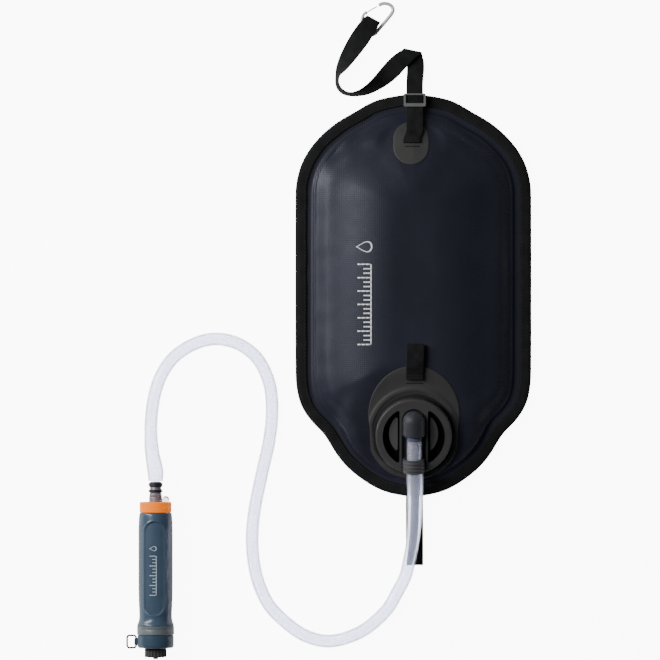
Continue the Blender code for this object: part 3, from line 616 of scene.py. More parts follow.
def clear_look(name, colour, roughness, weight):
    """Tinted clear plastic, of which weight is the share of light that it lets through."""
    look = Look(name, colour, roughness, IOR=1.41, Transmission_Weight=weight)
    look.shine(look.noise(16, 3.0), roughness - 0.02, roughness + 0.04)
    look.relief(look.noise(11, 2.0), 0.05)
    return look.material


def metal_look():
    """Satin anodised aluminium."""
    look = Look("carabiner_metal", (0.86, 0.86, 0.88), 0.38, Metallic=0.35)
    look.shine(look.noise(3, 4.0), 0.30, 0.46)
    look.relief(look.noise(0.8, 3.0, (1, 1, 6)), 0.01)
    return look.material


SMOOTH = {"grain": 1.4, "depth": 0.006, "uneven": 0.01, "flow": 30}
PRINTED = {"grain": 0.8, "depth": 0.01}
LOOKS = {
    "bag_fabric": bag_look(),
    "binding": binding_look(),
    "patch": rubbery("patch_rubber", (0.046, 0.046, 0.044), 0.55),
    "webbing": webbing_look(),
    "thread": moulded("thread", (0.020, 0.020, 0.021), 0.7),
    "slider": moulded("slider_plastic", (0.14, 0.136, 0.136), 0.42),
    "metal": metal_look(),
    "cap": moulded("cap_plastic", (0.052, 0.051, 0.051), 0.46),
    # A lighter copy of the cap plastic: painted light on the finger pads and trough floors, which the cap's
    # walls shade.
    "pad": moulded("cap_plastic_lit", (0.078, 0.077, 0.076), 0.5),
    # Near-black that paints shade: the cap's well grooves and the patches' slits wear it, and so does the
    # hidden neck ring.
    "dark": moulded("shade_black", (0.0035, 0.0035, 0.0035), 0.6, Specular_IOR_Level=0.2),
    "elbow": moulded("elbow_plastic", (0.034, 0.036, 0.042), 0.5),
    "retainer": rubbery("retainer_rubber", (0.070, 0.068, 0.074), 0.5),
    # Near-black; on the neck flange this near-black is painted shade in the gap under the cap.
    "seal": rubbery("seal_rubber", (0.012, 0.012, 0.013), 0.6),
    "hose": hose_look(),
    "hose_shade": clear_look("hose_over_barb", (0.12, 0.13, 0.21), 0.25, weight=0.3),
    "vent": clear_look("vent_silicone", (0.62, 0.58, 0.60), 0.3, weight=0.6),
    "blue": moulded("filter_blue", (0.056, 0.088, 0.130), 0.25, **SMOOTH),
    "cup": moulded("cup_blue", (0.044, 0.075, 0.112), 0.28, **SMOOTH),
    "ring": moulded("ring_grey", (0.130, 0.150, 0.160), 0.32),
    "orange": orange_look(),
    "nozzle": moulded("nozzle_plastic", (0.17, 0.17, 0.20), 0.3),
    "barb": moulded("barb_rubber", (0.018, 0.018, 0.026), 0.4),
    "tip": moulded("elbow_tip", (0.12, 0.13, 0.19), 0.4),
    "plug": rubbery("plug_black", (0.045, 0.045, 0.043), 0.55),
    "ink": moulded("print_ink", (0.93, 0.93, 0.95), 0.45, **PRINTED),
    "ink_grey": moulded("print_ink_grey", (0.62, 0.70, 0.78), 0.45, **PRINTED),
    "fibre": rubbery("fibre_white", (0.80, 0.80, 0.76), 0.75),
    "resin": moulded("potting_resin", (0.60, 0.55, 0.40), 0.3),
    "sleeve": moulded("sleeve_plastic", (0.5, 0.5, 0.5), 0.4),
}


def place(thing, body, look, slot, *nodes):
    """The piece takes its look, unless it has its own, rides on a body and stands for CAD nodes."""
    if look:
        painted(thing.data, LOOKS[look])
    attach(thing, body)
    if nodes:
        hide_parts(*nodes)
    return thing


def turned(name, profile, axis, body, look, slot, *nodes, steps=128, closed=False):
    """A lathed piece in its place."""
    return place(lathe(name, profile, axis, steps, closed), body, look, slot, *nodes)


# ---------------------------------------------------------------- hose


def hose_radius(along, total):
    """Outer radius: wide over the elbow's barb, widest past the retainer, swollen at the nozzle."""
    stations = [0, 22, 38, 44, 70, 100, 130, total - 48, total - 28, total - 12, total - 4, total]
    sizes = [7.7, 7.9, 8.3, 8.6, 7.7, 7.0, 6.5, 6.5, 7.3, 8.1, 7.7, 7.3]
    return np.interp(along, stations, sizes)


def make_hose():
    line = smooth_line(HOSE_ROUTE, HOSE_POINTS)
    along = run_lengths(line)
    outer = hose_radius(along, along[-1])
    outside = tube_rings(line, outer, 40)
    loops = outside + tube_rings(line, outer - HOSE_WALL, 40)[::-1] + outside[:1]
    hose = loft("hose_clear", loops, LOOKS["hose"], caps=False, smooth=60)
    hose.data.materials.append(LOOKS["hose_shade"])
    for face in hose.data.polygons:
        face.material_index = int((face.center - Vector(HOSE_ROUTE[0]) * MM).length < HOSE_ON_BARB * MM)
    welded(hose)
    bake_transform(hose)
    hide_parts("hose")


# ---------------------------------------------------------------- bag surface


def half_outline(count, inset, evening=0):
    """Points down the right side of the bag, moved inwards by inset.

    Evening rounds smooth the inward directions, so that rows don't cross inside a tight bend.
    """
    fine = evened(smooth_line(HALF_OUTLINE, 520), OUTLINE_EVENING)
    along = run_lengths(fine)
    even = np.linspace(0, along[-1], count)
    line = np.stack([np.interp(even, along, fine[:, k]) for k in range(2)], axis=1)
    run = np.gradient(line, axis=0)
    run[0] = (1, 0)
    run[-1] = (-1, 0)
    inward = unit(np.stack([run[:, 1], -run[:, 0]], axis=1))
    return line + evened(inward, evening) * inset


def whole_outline(count, inset=0.0):
    right = half_outline(count, inset)
    return np.vstack([right, right[-2:0:-1] * (-1, 1)])


EDGE = whole_outline(300)


def edge_distance(x, y):
    spots = np.stack([np.ravel(x), np.ravel(y)], axis=1).astype(float)
    nearest = np.full(len(spots), np.inf)
    for point in EDGE:
        nearest = np.minimum(nearest, np.hypot(spots[:, 0] - point[0], spots[:, 1] - point[1]))
    return nearest.reshape(np.shape(x))


def ripples(x, y, waves):
    """A sum of plane waves: each has a length, a direction in degrees, a phase and a height."""
    total = np.zeros(np.shape(x))
    for length, turn, phase, height in waves:
        run = x * math.cos(math.radians(turn)) + y * math.sin(math.radians(turn))
        total += height * np.sin(2 * math.pi * run / length + phase)
    return total


def ridge(x, y, start, end, width, height):
    """A soft fold along a line between two points, fading out at both ends."""
    start, end = np.array(start, float), np.array(end, float)
    run = end - start
    share = ((x - start[0]) * run[0] + (y - start[1]) * run[1]) / (run @ run)
    off = ((x - start[0]) * run[1] - (y - start[1]) * run[0]) / math.sqrt(run @ run)
    fade = smooth_step(share / 0.3) * smooth_step((1 - share) / 0.3)
    return height * fade * np.exp(-((off / width) ** 2))


EDGE_WAVES = [(34, 80, 0.4, 0.36), (27, 18, 1.9, 0.32), (43, 130, 2.6, 0.42), (21, 100, 4.1, 0.20)]
BROAD_WAVES = [(150, 75, 0.8, 0.35), (110, 160, 2.2, 0.25), (190, 20, 3.9, 0.4)]
FOLDS = [
    ((38, -16), (92, -4), 5.0, 1.2), ((-38, -16), (-92, -2), 5.0, 1.2), ((44, 22), (104, 52), 9.0, 0.9),
    ((-44, 20), (-106, 44), 9.0, 0.8), ((-14, 300), (-70, 296), 7.0, 0.7), ((20, 298), (84, 290), 8.0, 0.8),
    ((-100, 130), (-84, 262), 6.0, 0.5), ((96, 110), (88, 232), 7.0, 0.4),
]


def front_height(x, y):
    """The CAD's dome and cap seat, with a weld bead, soft folds and slight waves."""
    x, y = np.asarray(x, float), np.asarray(y, float)
    inside = edge_distance(x, y)
    rise = np.clip((inside - FLANGE_WIDTH) / DOME_REACH, 0, 1)
    dome = FLANGE_Z + DOME_RISE * np.sin(math.pi / 2 * rise)
    from_cap = np.hypot(x, y - CAP_SEAT.y)
    seat = 1 - smooth_step((from_cap - SEAT_RADIUS) / (SEAT_FADE_RADIUS - SEAT_RADIUS))
    seat_height = CAP_SEAT.z + math.tan(CAP_TILT) * (y - CAP_SEAT.y)
    free = smooth_step((inside - 19) / 14) * smooth_step((from_cap - 50) / 25)
    free = free * smooth_step((np.hypot(x + 2.5, y - 293) - 22) / 14)
    corner = 0.25 + 0.75 * smooth_step((np.abs(y - 150) - 85) / 50)
    edge = corner * np.exp(-((inside - 22) / 16) ** 2) * smooth_step((inside - 17) / 6)
    shaped = dome + (seat_height - dome) * seat
    height = FLANGE_Z + (shaped - FLANGE_Z) * smooth_step((inside - DOME_EDGE) / 6)
    height = height + edge * ripples(x, y, EDGE_WAVES) + free * ripples(x, y, BROAD_WAVES)
    for start, end, width, rise_up in FOLDS:
        height = height + free * ridge(x, y, start, end, width, rise_up)
    bead = 0.7 * np.exp(-(((inside - SEAM_INSIDE) / 1.0) ** 2)) * smooth_step((from_cap - 44) / 4)
    full = SHOULDER_RISE * np.exp(-(((inside - SHOULDER_INSIDE) / 12.5) ** 2)) * free
    return height + bead + full


def back_height(x, y):
    inside = edge_distance(x, y)
    low = smooth_step((inside - FLANGE_WIDTH) / BACK_FLAT_REACH)
    return BACK_FLANGE_Z + (0.5 - BACK_FLANGE_Z) * low


def panel_grid(rows, insets, columns):
    """(x, y) rows from side to side: lines parallel to the edge, then level across the middle."""
    lines = [half_outline(rows, inset, 60) for inset in insets]
    shares = np.linspace(1, 0, columns)[1:]
    grid = []
    for i in range(rows):
        right = [tuple(line[i]) for line in lines]
        right += [(lines[-1][i][0] * share, lines[-1][i][1]) for share in shares]
        grid.append([(-x, y) for x, y in right] + right[-2::-1])
    return np.array(grid)


def make_panel(name, height, insets, rows, columns, hole, node):
    grid = panel_grid(rows, insets, columns)
    z = height(grid[..., 0], grid[..., 1])
    points = np.dstack([grid, z])
    bm = bmesh.new()
    verts = [[bm.verts.new(Vector(point) * MM) for point in row] for row in points]
    for upper, lower in zip(verts, verts[1:]):
        for corner in zip(upper, upper[1:], lower[1:], lower):
            middle = sum((v.co for v in corner), Vector()) / 4 / MM
            if math.hypot(middle.x, middle.y - CAP_SEAT.y) > hole:
                bm.faces.new(corner)
    bmesh.ops.remove_doubles(bm, verts=bm.verts, dist=0.00002)
    loose = [v for v in bm.verts if not v.link_faces]
    bmesh.ops.delete(bm, geom=loose, context="VERTS")
    panel = thickened(as_object(name, bm, smooth=60), 0.5, 0)
    panel.data.shade_smooth()
    place(panel, "root", "bag_fabric", "bag_fabric", node)


def make_binding():
    """Tape folded over the edge, a little uneven along its run."""
    count = 420
    outside = whole_outline(count, -0.7)
    middle = whole_outline(count, 0.3)
    inward = unit(middle - outside)
    section = [
        (11.5, 7.45), (11.6, 7.9), (11.3, 8.25), (9.5, 8.42), (6, 8.5), (3, 8.42), (1.3, 8.1), (0.35, 7.3),
        (0.05, 6.1), (0.35, 4.9), (1.3, 4.15), (3, 3.8), (6, 3.7), (9.5, 3.72), (11.3, 3.8), (11.6, 4.1),
        (11.5, 4.6), (9, 4.7), (2, 5.0), (1.4, 6.1), (2, 7.2), (9, 7.3),
    ]
    rings = []
    for number, (spot, toward) in enumerate(zip(outside, inward)):
        turn = 2 * math.pi * number / len(outside)
        sway = 0.16 * math.sin(23 * turn + 1) + 0.12 * math.sin(37 * turn + 2.2)
        lift = 0.10 * math.sin(31 * turn) + 0.08 * math.sin(53 * turn + 0.7)
        ring = []
        for depth, z in section:
            share = depth / BINDING_WIDTH
            flat = spot + toward * (depth + sway * share)
            ring.append((flat[0], flat[1], z + lift * share))
        rings.append(ring)
    rings.append(rings[0])
    binding = welded(loft("binding_tape", rings, caps=False, smooth=50))
    place(binding, "root", "binding", "binding_tape", "edge_binding")
    seam = [(x, y, SEAM_Z) for x, y in whole_outline(560, SEAM_INSET)]
    stitches("binding_stitches", seam, 3.6)


def stitches(name, line, pitch, radius=0.28):
    """A row of short threads along a line, each a flattened bead."""
    line = np.array(line, float)
    along = run_lengths(line)
    count = max(2, int(along[-1] / pitch))
    bm = bmesh.new()
    for number in range(count):
        ends = (number * pitch, (number + STITCH_SHARE) * pitch)
        first, last = (
            Vector([np.interp(end, along, line[:, k]) for k in range(3)]) for end in ends
        )
        ahead = last - first
        if ahead.length < 0.2:
            continue
        turn = ahead.to_track_quat("X", "Z").to_matrix().to_4x4()
        scale = Matrix.Diagonal((*(Vector((ahead.length / 2, radius * 1.3, radius)) * MM), 1))
        matrix = Matrix.Translation((first + last) / 2 * MM) @ turn @ scale
        bmesh.ops.create_uvsphere(bm, u_segments=6, v_segments=4, radius=1.0, matrix=matrix)
    place(as_object(name, bm, smooth=60), "root", "thread", "webbing")


def surface_patch(name, middle, outline, inner, lip, node):
    """A rubbery sheet that follows the bag from an inner circle out to an outline, with a rolled edge."""
    centre = np.array(middle, float)
    arms = np.array(outline, float) - centre
    reach = np.linalg.norm(arms, axis=1)
    arms /= reach[:, None]
    rings = [(inner + (reach - inner) * share, PATCH_THICKNESS) for share in np.linspace(0, 1, 26)]
    rings += [(reach + 0.45, PATCH_THICKNESS * 0.85), (reach + 0.75, PATCH_THICKNESS * 0.45)]
    rings.append((reach + 0.8, -0.1))
    loops = []
    for radius, lift in rings:
        spots = centre + arms * radius[:, None]
        from_cap = np.hypot(spots[:, 0], spots[:, 1] - CAP_SEAT.y)
        raised = lip * (smooth_step((from_cap - 40.8) / 1.4) - smooth_step((from_cap - 44.6) / 3.2))
        z = front_height(spots[:, 0], spots[:, 1]) + 0.25 + lift + (raised if lift > 0 else 0)
        loops.append(np.column_stack([spots, z]))
    place(loft(name, loops, caps=False, smooth=60), "root", "patch", "patch_rubber", node)


def bag_row(x0, x1, y, count, rise):
    """Points in a row across the bag, rise above its front."""
    return [np.array((x, y, float(front_height(x, y)) + rise)) for x in np.linspace(x0, x1, count)]


def egg_outline():
    egg = arc((0.4, 2.2), 45.0, 200, 340, 60)
    for turn in np.radians(np.linspace(-14, 194, 92)):
        egg.append((0.4 + 44.9 * math.cos(turn), 22 + 48.0 * math.sin(turn)))
    return egg


def make_patches():
    surface_patch("cap_patch", (0, CAP_SEAT.y), egg_outline(), 34.9, 1.1, "base_patch")
    oval = arc((-2.5, 289.3), 17.0, 180, 360, 60) + arc((-2.5, 297.0), 17.0, 0, 180, 60)[:-1]
    surface_patch("strap_anchor", (-2.5, 293), oval, 0.05, 0.0, "strap_patch")
    # Dark wires along the slits where the webbing goes in: painted shade inside the slits.
    for name, y, half in (
        ("slot_shade_low", 48.6, 8.6), ("slot_shade_high", 53.4, 8.4), ("slot_shade_top", 289.8, 7.6),
    ):
        shift = 1.0 if y < 100 else -1.2
        place(wire(name, bag_row(-half + shift, half + shift, y, 12, 1.0), 0.42, 8), "root", "dark",
              "patch_rubber")


# ---------------------------------------------------------------- printed graphic


def bag_point(x, y):
    return (x, y, float(front_height(x, y)) + 0.32)


def decal(name, outlines, to_space, look, slot):
    """Flat printed shapes, each an (x, y) outline, carried onto a curved surface."""
    bm = bmesh.new()
    for outline in outlines:
        bm.faces.new([bm.verts.new(Vector(to_space(x, y)) * MM) for x, y in outline])
    bmesh.ops.triangulate(bm, faces=bm.faces)
    place(thickened(as_object(name, bm, smooth=60), 0.08, 1), "root", look, slot)


def scale_outlines(x_line, low, high, count, long_tick, short_tick, width):
    """A ruler: one long line along Y and ticks to its left, long at every third."""
    half = width / 2
    ys = np.linspace(low, high, 14)
    boxes = [(x_line - half, x_line + half, y0, y1) for y0, y1 in zip(ys, ys[1:])]
    for number, y in enumerate(np.linspace(low, high, count)):
        reach = long_tick if number % 3 == 0 else short_tick
        parts = np.linspace(x_line - half, x_line - reach, 4)
        boxes += [(x1, x0, y - half, y + half) for x0, x1 in zip(parts, parts[1:])]
    return [[(x0, y0), (x1, y0), (x1, y1), (x0, y1)] for x0, x1, y0, y1 in boxes]


def drop_outlines(x, y, size, width):
    """A water drop drawn as a line, its point along -X."""
    outer, inner = [], []
    for step in range(41):
        turn = 2 * math.pi * step / 40
        along = math.cos(turn)
        across = math.sin(turn) * math.sin(turn / 2) ** 1.6
        for ring, scale in ((outer, size), (inner, size - width)):
            ring.append((x - scale * along, y + scale * 0.95 * across))
    return [
        [outer[k], outer[k + 1], inner[k + 1], inner[k]]
        for k in range(40)
        if math.dist(outer[k], outer[k + 1]) > 0.05
    ]


def make_print():
    shapes = scale_outlines(-42.5, 92, 172, 19, 13.5, 7.5, 1.3)
    shapes += drop_outlines(-49.5, 189.5, 8.5, 1.6)
    decal("volume_scale", shapes, bag_point, "ink", "bag_fabric")

    def panel_point(x, y):
        slope = math.sqrt(1 - ((x - FILTER_X) / GRIP_RADIUS) ** 2)
        return (x, y, FILTER_Z + (GRIP_RADIUS - panel_drop(x)) * slope + 0.05)

    shapes = scale_outlines(FILTER_X + 1.2, -158, -119, 13, 6.6, 3.8, 0.8)
    shapes += drop_outlines(FILTER_X - 2.2, -111.5, 3.8, 0.9)
    decal("filter_scale", shapes, panel_point, "ink_grey", "filter_blue")


# ---------------------------------------------------------------- webbing


def ribbon(name, stations, node):
    """Webbing with rounded edges through stations of two edge points, with UVs in metres."""
    pairs = np.array(stations, float).reshape(len(stations), 6)
    line = catmull_rom(pairs, 6)
    first, second = line[:, :3], line[:, 3:]
    middle = (first + second) / 2
    along = np.gradient(middle, axis=0)
    normal = unit(np.cross(along, second - first))
    half = STRAP_THICKNESS / 2
    section = [(0.0, 0.45), (0.015, 0.85), (0.05, 1.0), (0.3, 1.03), (0.5, 1.0), (0.7, 1.03), (0.95, 1.0),
               (0.985, 0.85), (1.0, 0.45)]
    section = section + [(share, -lift) for share, lift in section[::-1]]
    rings = []
    for a, b, n in zip(first, second, normal):
        rings.append([a + (b - a) * share + n * half * lift for share, lift in section])
    made = loft(name, rings, smooth=60)
    run = run_lengths(middle)
    width = np.linalg.norm(second - first, axis=1).mean()
    layer = made.data.uv_layers.new(name="strap")
    size = len(section)
    for loop in made.data.loops:
        ring, spot = divmod(loop.vertex_index, size)
        layer.data[loop.index].uv = (section[spot][0] * width * MM, run[ring] * MM)
    place(made, "root", "webbing", "webbing", node)


def level(x, y, z, half=8.4):
    return ((x - half, y, z), (x + half, y, z))


def on_patch(x, y, rise=0.0):
    return level(x, y, float(front_height(x, y)) + PATCH_RISE + STRAP_RISE + rise - 0.35, 8.7)


def make_webbing():
    leaves_y, lands_y, lands_z = 303.0, 356.0, 8.6
    slider = JOINTS["slider_slide"]["axis"]
    slope = slider[2] / slider[1]
    taut = [level(1.2, y, lands_z + slope * (y - lands_y)) for y in (306, 318, 330, 342, 352)]
    loose = [
        level(1.6, 358.5, 7.4, 8.5), level(2.1, 364.5, 4.2, 8.6), level(2.3, 370, 1.7, 8.7),
        level(2.1, 375, 0.9, 8.7),
        ((-7.6, 381, 0.9), (9.9, 379, 0.9)),
        ((-9.0, 386.6, 1.2), (8.9, 382.8, 1.2)),
        ((-9.8, 388.4, 3.0), (8.2, 384.6, 3.0)),
        ((-11.0, 387.2, 4.9), (7.2, 383.2, 4.9)),
        ((-14.6, 385.2, 5.3), (2.8, 379.6, 5.3)),
        ((-20.4, 381.0, 5.0), (-6.4, 370.4, 5.0)),
        ((-27.5, 374.2, 4.7), (-13.4, 362.6, 4.2)),
        ((-35.8, 364.2, 7.0), (-22.6, 354.6, 1.6)),
        ((-43.4, 355.4, 12.2), (-32.4, 348.4, 0.8)),
        ((-50.2, 349.2, 15.2), (-42.1, 343.8, 0.6)),
        ((-56.6, 345.4, 16.8), (-51.2, 341.5, 0.6)),
        ((-63.6, 344.0, 17.6), (-60.6, 341.0, 0.6)),
        ((-69.4, 346.0, 17.8), (-68.6, 342.2, 0.6)),
        ((-73.2, 349.8, 17.8), (-74.6, 346.2, 0.6)),
        ((-74.9, 355.0, 17.8), (-77.6, 352.4, 0.6)),
        ((-73.6, 361.0, 17.0), (-77.9, 360.6, 0.6)),
        ((-66.6, 367.4, 14.6), (-77.2, 369.6, 0.8)),
        ((-60.2, 374.6, 12.0), (-74.2, 379.4, 1.2)),
        ((-53.8, 382.4, 10.4), (-70.0, 388.9, 2.6)),
        ((-46.8, 391.4, 9.8), (-64.8, 398.6, 5.6)),
        ((-41.2, 399.9, 10.2), (-59.2, 407.4, 8.8)),
        ((-37.0, 407.1, 10.6), (-53.8, 414.4, 10.6)),
        ((-34.9, 411.2, 10.3), (-49.9, 418.8, 10.3)),
        ((-33.6, 413.5, 8.0), (-47.1, 420.9, 8.0)),
        ((-33.2, 414.1, 5.6), (-46.7, 421.5, 5.6)),
        ((-33.6, 413.5, 3.2), (-47.1, 420.9, 3.2)),
        ((-35.2, 411.0, 1.1), (-49.2, 418.4, 1.1)),
        ((-39.6, 403.4, 0.68), (-54.4, 411.2, 0.68)),
        ((-45.6, 392.8, 0.68), (-60.4, 400.6, 0.68)),
    ]
    ribbon("strap_webbing", [on_patch(-1.8, 293.5), on_patch(-1.2, 298.5)] + taut + loose, "hang_strap")
    for number, y in enumerate((294.6, 296.4, 298.6)):
        stitches(f"strap_tack_{number}", bag_row(-9.6, 5.8, y, 24, 3.3), 1.1, 0.26)
    loop = [
        (1.0, 58, 0), (1.1, 66, 0), (1.4, 76, -0.2), (1.7, 86, -0.6), (1.8, 90.6, -0.3),
        (1.8, 92.2, 1.4), (1.8, 90.8, 3.2), (1.7, 85, 4.2), (1.4, 76, 4.0), (1.1, 67, 2.2),
        (1.0, 63, 1.6), (1.0, 57, 1.6),
    ]
    ribbon("loop_webbing", [on_patch(x, y, rise) for x, y, rise in loop], "base_loop_tab")
    for number, (y, lift) in enumerate(((58.4, 4.95), (61.0, 4.95), (65.4, 5.3))):
        stitches(f"loop_tack_{number}", bag_row(-6.4, 8.4, y, 24, lift), 1.1, 0.26)
    tail = [
        level(1.2, -49, 2.6, 8.7), level(1.2, -58, 2.5, 8.7), level(1.2, -66, 1.4, 8.7),
        level(1.2, -74, 0.8, 8.7), level(1.3, -100, 0.8, 8.7), level(1.3, -129.3, 0.8, 8.7),
    ]
    ribbon("tail_webbing", tail, "tail_strap")


# ---------------------------------------------------------------- fill cap


def well_outline(radius, edge, inner):
    """Half of a disc to the right of x = edge, with small rounds at its two corners."""
    reach = math.degrees(math.acos((edge + inner) / radius)) - 2
    points = arc((0, 0), radius, -reach, reach, 40)
    low, high = points[0][1], points[-1][1]
    return points + [
        (edge + inner * 0.3, high - inner * 0.3), (edge, high - inner * 1.4),
        (edge, low + inner * 1.4), (edge + inner * 0.3, low + inner * 0.3),
    ]


def mirrored(outline, side):
    return outline if side > 0 else [(-x, y) for x, y in outline[::-1]]


def make_cap():
    rim = arc((36.6, CAP_TOP - 1.4), 1.4, 90, 0, 7)
    profile = [(0, CAP_TOP), (34.4, CAP_TOP)] + rim + [
        (CAP_RADIUS, 4.2), (37.3, 3.1), (35.2, 3.0), (35.2, 7.2), (32, 7.2), (32, 1.5), (24.5, 1.5),
        (24.5, 3.4), (0, 3.4),
    ]
    cap = lathe("cap_shell", profile, CAP_AXIS, 144, look=LOOKS["cap"])
    cap.data.materials.append(LOOKS["dark"])
    # The well cutters are near-black, so the grooves round the finger pads carry painted shade.
    for side in (1, -1):
        well = mirrored(well_outline(WELL_RADIUS, 14.2, 1.2), side)
        combine(cap, prism("well", well, 4.5, 20, CAP_AXIS, LOOKS["dark"]))
    half = 12.0
    # The trough cutters are in the lighter pad plastic: painted light on the trough floor beside the hose.
    trough = arc((0, 28.2 - half), half, 0, 180, 40) + [(-half, -29), (half, -29)]
    combine(cap, prism("trough", trough, 9.0, 24, CAP_AXIS, LOOKS["pad"]))
    mouth = [(half, -28), (-half, -28), (-half, -45), (half, -45)]
    combine(cap, prism("trough_mouth", mouth, 9.3, 24, CAP_AXIS, LOOKS["pad"]))
    bevel(cap, 0.45)
    place(cap, "cap", None, "cap_plastic", "fill_cap")
    # The finger pads take the lighter pad plastic: painted light where the cross bar shades them.
    for side, word in ((1, "right"), (-1, "left")):
        shape = mirrored(well_outline(PAD_RADIUS, 15.6, 1.6), side)
        shape = [(x, y + PAD_SHIFT) for x, y in shape]
        pad = prism(f"finger_pad_{word}", shape, 4.3, 9.8, CAP_AXIS)
        bevel(pad, 0.45)
        place(pad, "cap", "pad", "cap_plastic")
    # A flange ring in near-black seal rubber: painted shade for the dark gap between the cap and the
    # patch's lip.
    flange = [(34.6, 0.2), (40.4, 0.2), (41.0, 0.6), (40.8, 1.3), (39.8, 1.7), (34.6, 1.7)]
    turned("neck_flange_shade", flange, CAP_AXIS, "root", "seal", "neck_plastic", steps=144, closed=True)
    make_elbow()
    make_retainer()


def make_elbow():
    dome = arc((0, -15.7), 11.3, 0, -90, 18)
    barrel = [
        (4.9, -3.4), (8.3, -3.4), (8.3, -2.3), (8.7, -1.95), (10.8, -1.9), (11.25, -2.4), (11.3, -5),
    ] + dome
    barb = [
        (0, -6), (4.9, -6), (5.2, -2), (5.3, 2.5), (5.6, 3.0), (5.4, 3.8), (4.9, 4.6), (3.6, 4.6),
        (3.6, -5), (0, -5),
    ]
    stem = [(0, -3.5), (4.4, -3.5), (7, -3.3), (7, 9), (0, 9)]
    stem_axis = CAP_AXIS @ Matrix.Translation((0, 14, 0))
    turned("elbow_barrel", barrel, HOSE_AXIS, "cap", "elbow", "elbow_plastic", "outlet_elbow", steps=96)
    turned("elbow_barb", barb, HOSE_AXIS, "cap", "tip", "elbow_plastic", steps=64)
    turned("elbow_stem", stem, stem_axis, "cap", "elbow", "elbow_plastic", steps=48)


def make_retainer():
    """A ribbed rubber arch over the hose at the rim of the cap."""
    outer = []
    for y in np.linspace(22.1, 35.9, 70):
        wave = math.cos(2 * math.pi * (y - 22.1) / 3.45)
        end = smooth_step((y - 22.1) / 0.8) * smooth_step((35.9 - y) / 0.8)
        outer.append((10.55 + 0.75 * float(end) * smooth_step(0.5 + 0.8 * wave), y))
    profile = outer + [(8.75, 35.9), (8.75, 22.1)]
    arch = lathe("retainer_band", profile, HOSE_AXIS, 96, closed=True)
    floor = [(-16, -45), (16, -45), (16, -15), (-16, -15)]
    combine(arch, prism("arch_foot", floor, -4, 9.6, CAP_AXIS))
    smoothed(arch.data, 40)
    place(arch, "cap", "retainer", "retainer_rubber", "hose_retainer")


# ---------------------------------------------------------------- slider and carabiner


def make_hardware():
    place(softened("strap_slider", 0.4), "slider", "slider", "slider_plastic", "strap_slider")
    count = 150
    line = smooth_line([(x, y, CARABINER_Z) for x, y in CARABINER_LINE], count)
    share = np.linspace(0, 1, count)
    radii = 1.85 - 0.4 * smooth_step((share - 0.8) / 0.2) - 0.5 * (1 - smooth_step(share / 0.012))
    bar = wire("carabiner_bar", line, radii, 28)
    place(bar, "carabiner", "metal", "carabiner_aluminium", "carabiner_frame")
    hinge = Vector(JOINTS["carabiner_gate_hinge"]["pos_m"]) / MM
    boss = [(0, 1.6), (1.4, 1.6), (1.75, 1.25), (1.75, -1.25), (1.4, -1.6), (0, -1.6)]
    turned("carabiner_boss", boss, Matrix.Translation(hinge), "carabiner", "metal", "carabiner_aluminium",
           steps=40)
    along = Vector((*GATE_TIP, CARABINER_Z)) - hinge
    corners = [
        hinge + along * share + Vector((0, 0, rise))
        for share, rise in (
            (0, 0.6), (0, 1.65), (0.08, 2.35), (0.92, 2.35), (1, 1.65),
            (1, -1.65), (0.92, -2.35), (0.08, -2.35), (0, -1.65), (0, -0.6),
        )
    ]
    gate = wire("gate_wire", catmull_rom(corners, 6), 0.58, 14)
    place(gate, "gate", "metal", "carabiner_aluminium", "carabiner_gate")


# ---------------------------------------------------------------- filter


def panel_depth(x, y):
    """How far inside the filter's long panel a point is, in millimetres."""
    y = np.clip(y, PANEL_LOW, PANEL_HIGH) - y
    return PANEL_HALF_WIDTH - np.hypot(x - PANEL_X, y)


def panel_drop(x):
    """How far the panel's face lies below the tube, most along its middle."""
    return 0.4 + 1.05 * np.clip(1 - ((x - PANEL_X) / PANEL_HALF_WIDTH) ** 2, 0, 1)


def make_filter_shell():
    """The grip: a waisted tube with a pressed panel on its front and a fine raised rim round it."""
    waist = (  # (Y, radius) from the collar down
        (-76.1, 15.7), (-76.6, 16.2), (-79, 16.5), (-82, 16.8), (-86, 17.0), (-92, 17.15), (-100, 17.2),
        (-150, 17.2), (-162, 17.0), (-170, 16.7), (-176, 16.4), (-179, 16.35), (-182, 16.5),
        (-184.5, 17.0), (-186.8, 17.9), (-188, 18.5), (-188.7, 18.4),
    )
    bore = (
        (-188.7, 15.2), (-199.8, 15.2), (-199.8, 14.2), (-78, 14.2), (-78, 12.6), (-70.4, 12.6),
        (-70.4, 14.3), (-76.1, 14.3),
    )
    heights = np.linspace(waist[0][0], waist[-1][0], 250)
    outer = np.interp(-heights, [-y for y, _ in waist], [radius for _, radius in waist])
    outer = evened(outer, 6)
    turns = np.linspace(0, 2 * math.pi, 240, endpoint=False)
    side, up = np.cos(turns), np.sin(turns)

    def ring(y, reach):
        return np.column_stack([FILTER_X + reach * side, np.full(len(turns), y), FILTER_Z + reach * up])

    rings = []
    for y, radius in zip(heights, outer):
        x = FILTER_X + radius * side
        inside = panel_depth(x, y)
        pressed = np.where(up > 0, smooth_step(inside / 1.1), 0)
        rim = np.where(up > 0, np.exp(-(((inside + 0.7) / 0.7) ** 2)), 0)
        rings.append(ring(y, radius - panel_drop(x) * pressed + 0.4 * rim))
    rings += [ring(y, radius) for y, radius in bore]
    return loft("filter_shell", rings + rings[:1], caps=False, smooth=40)


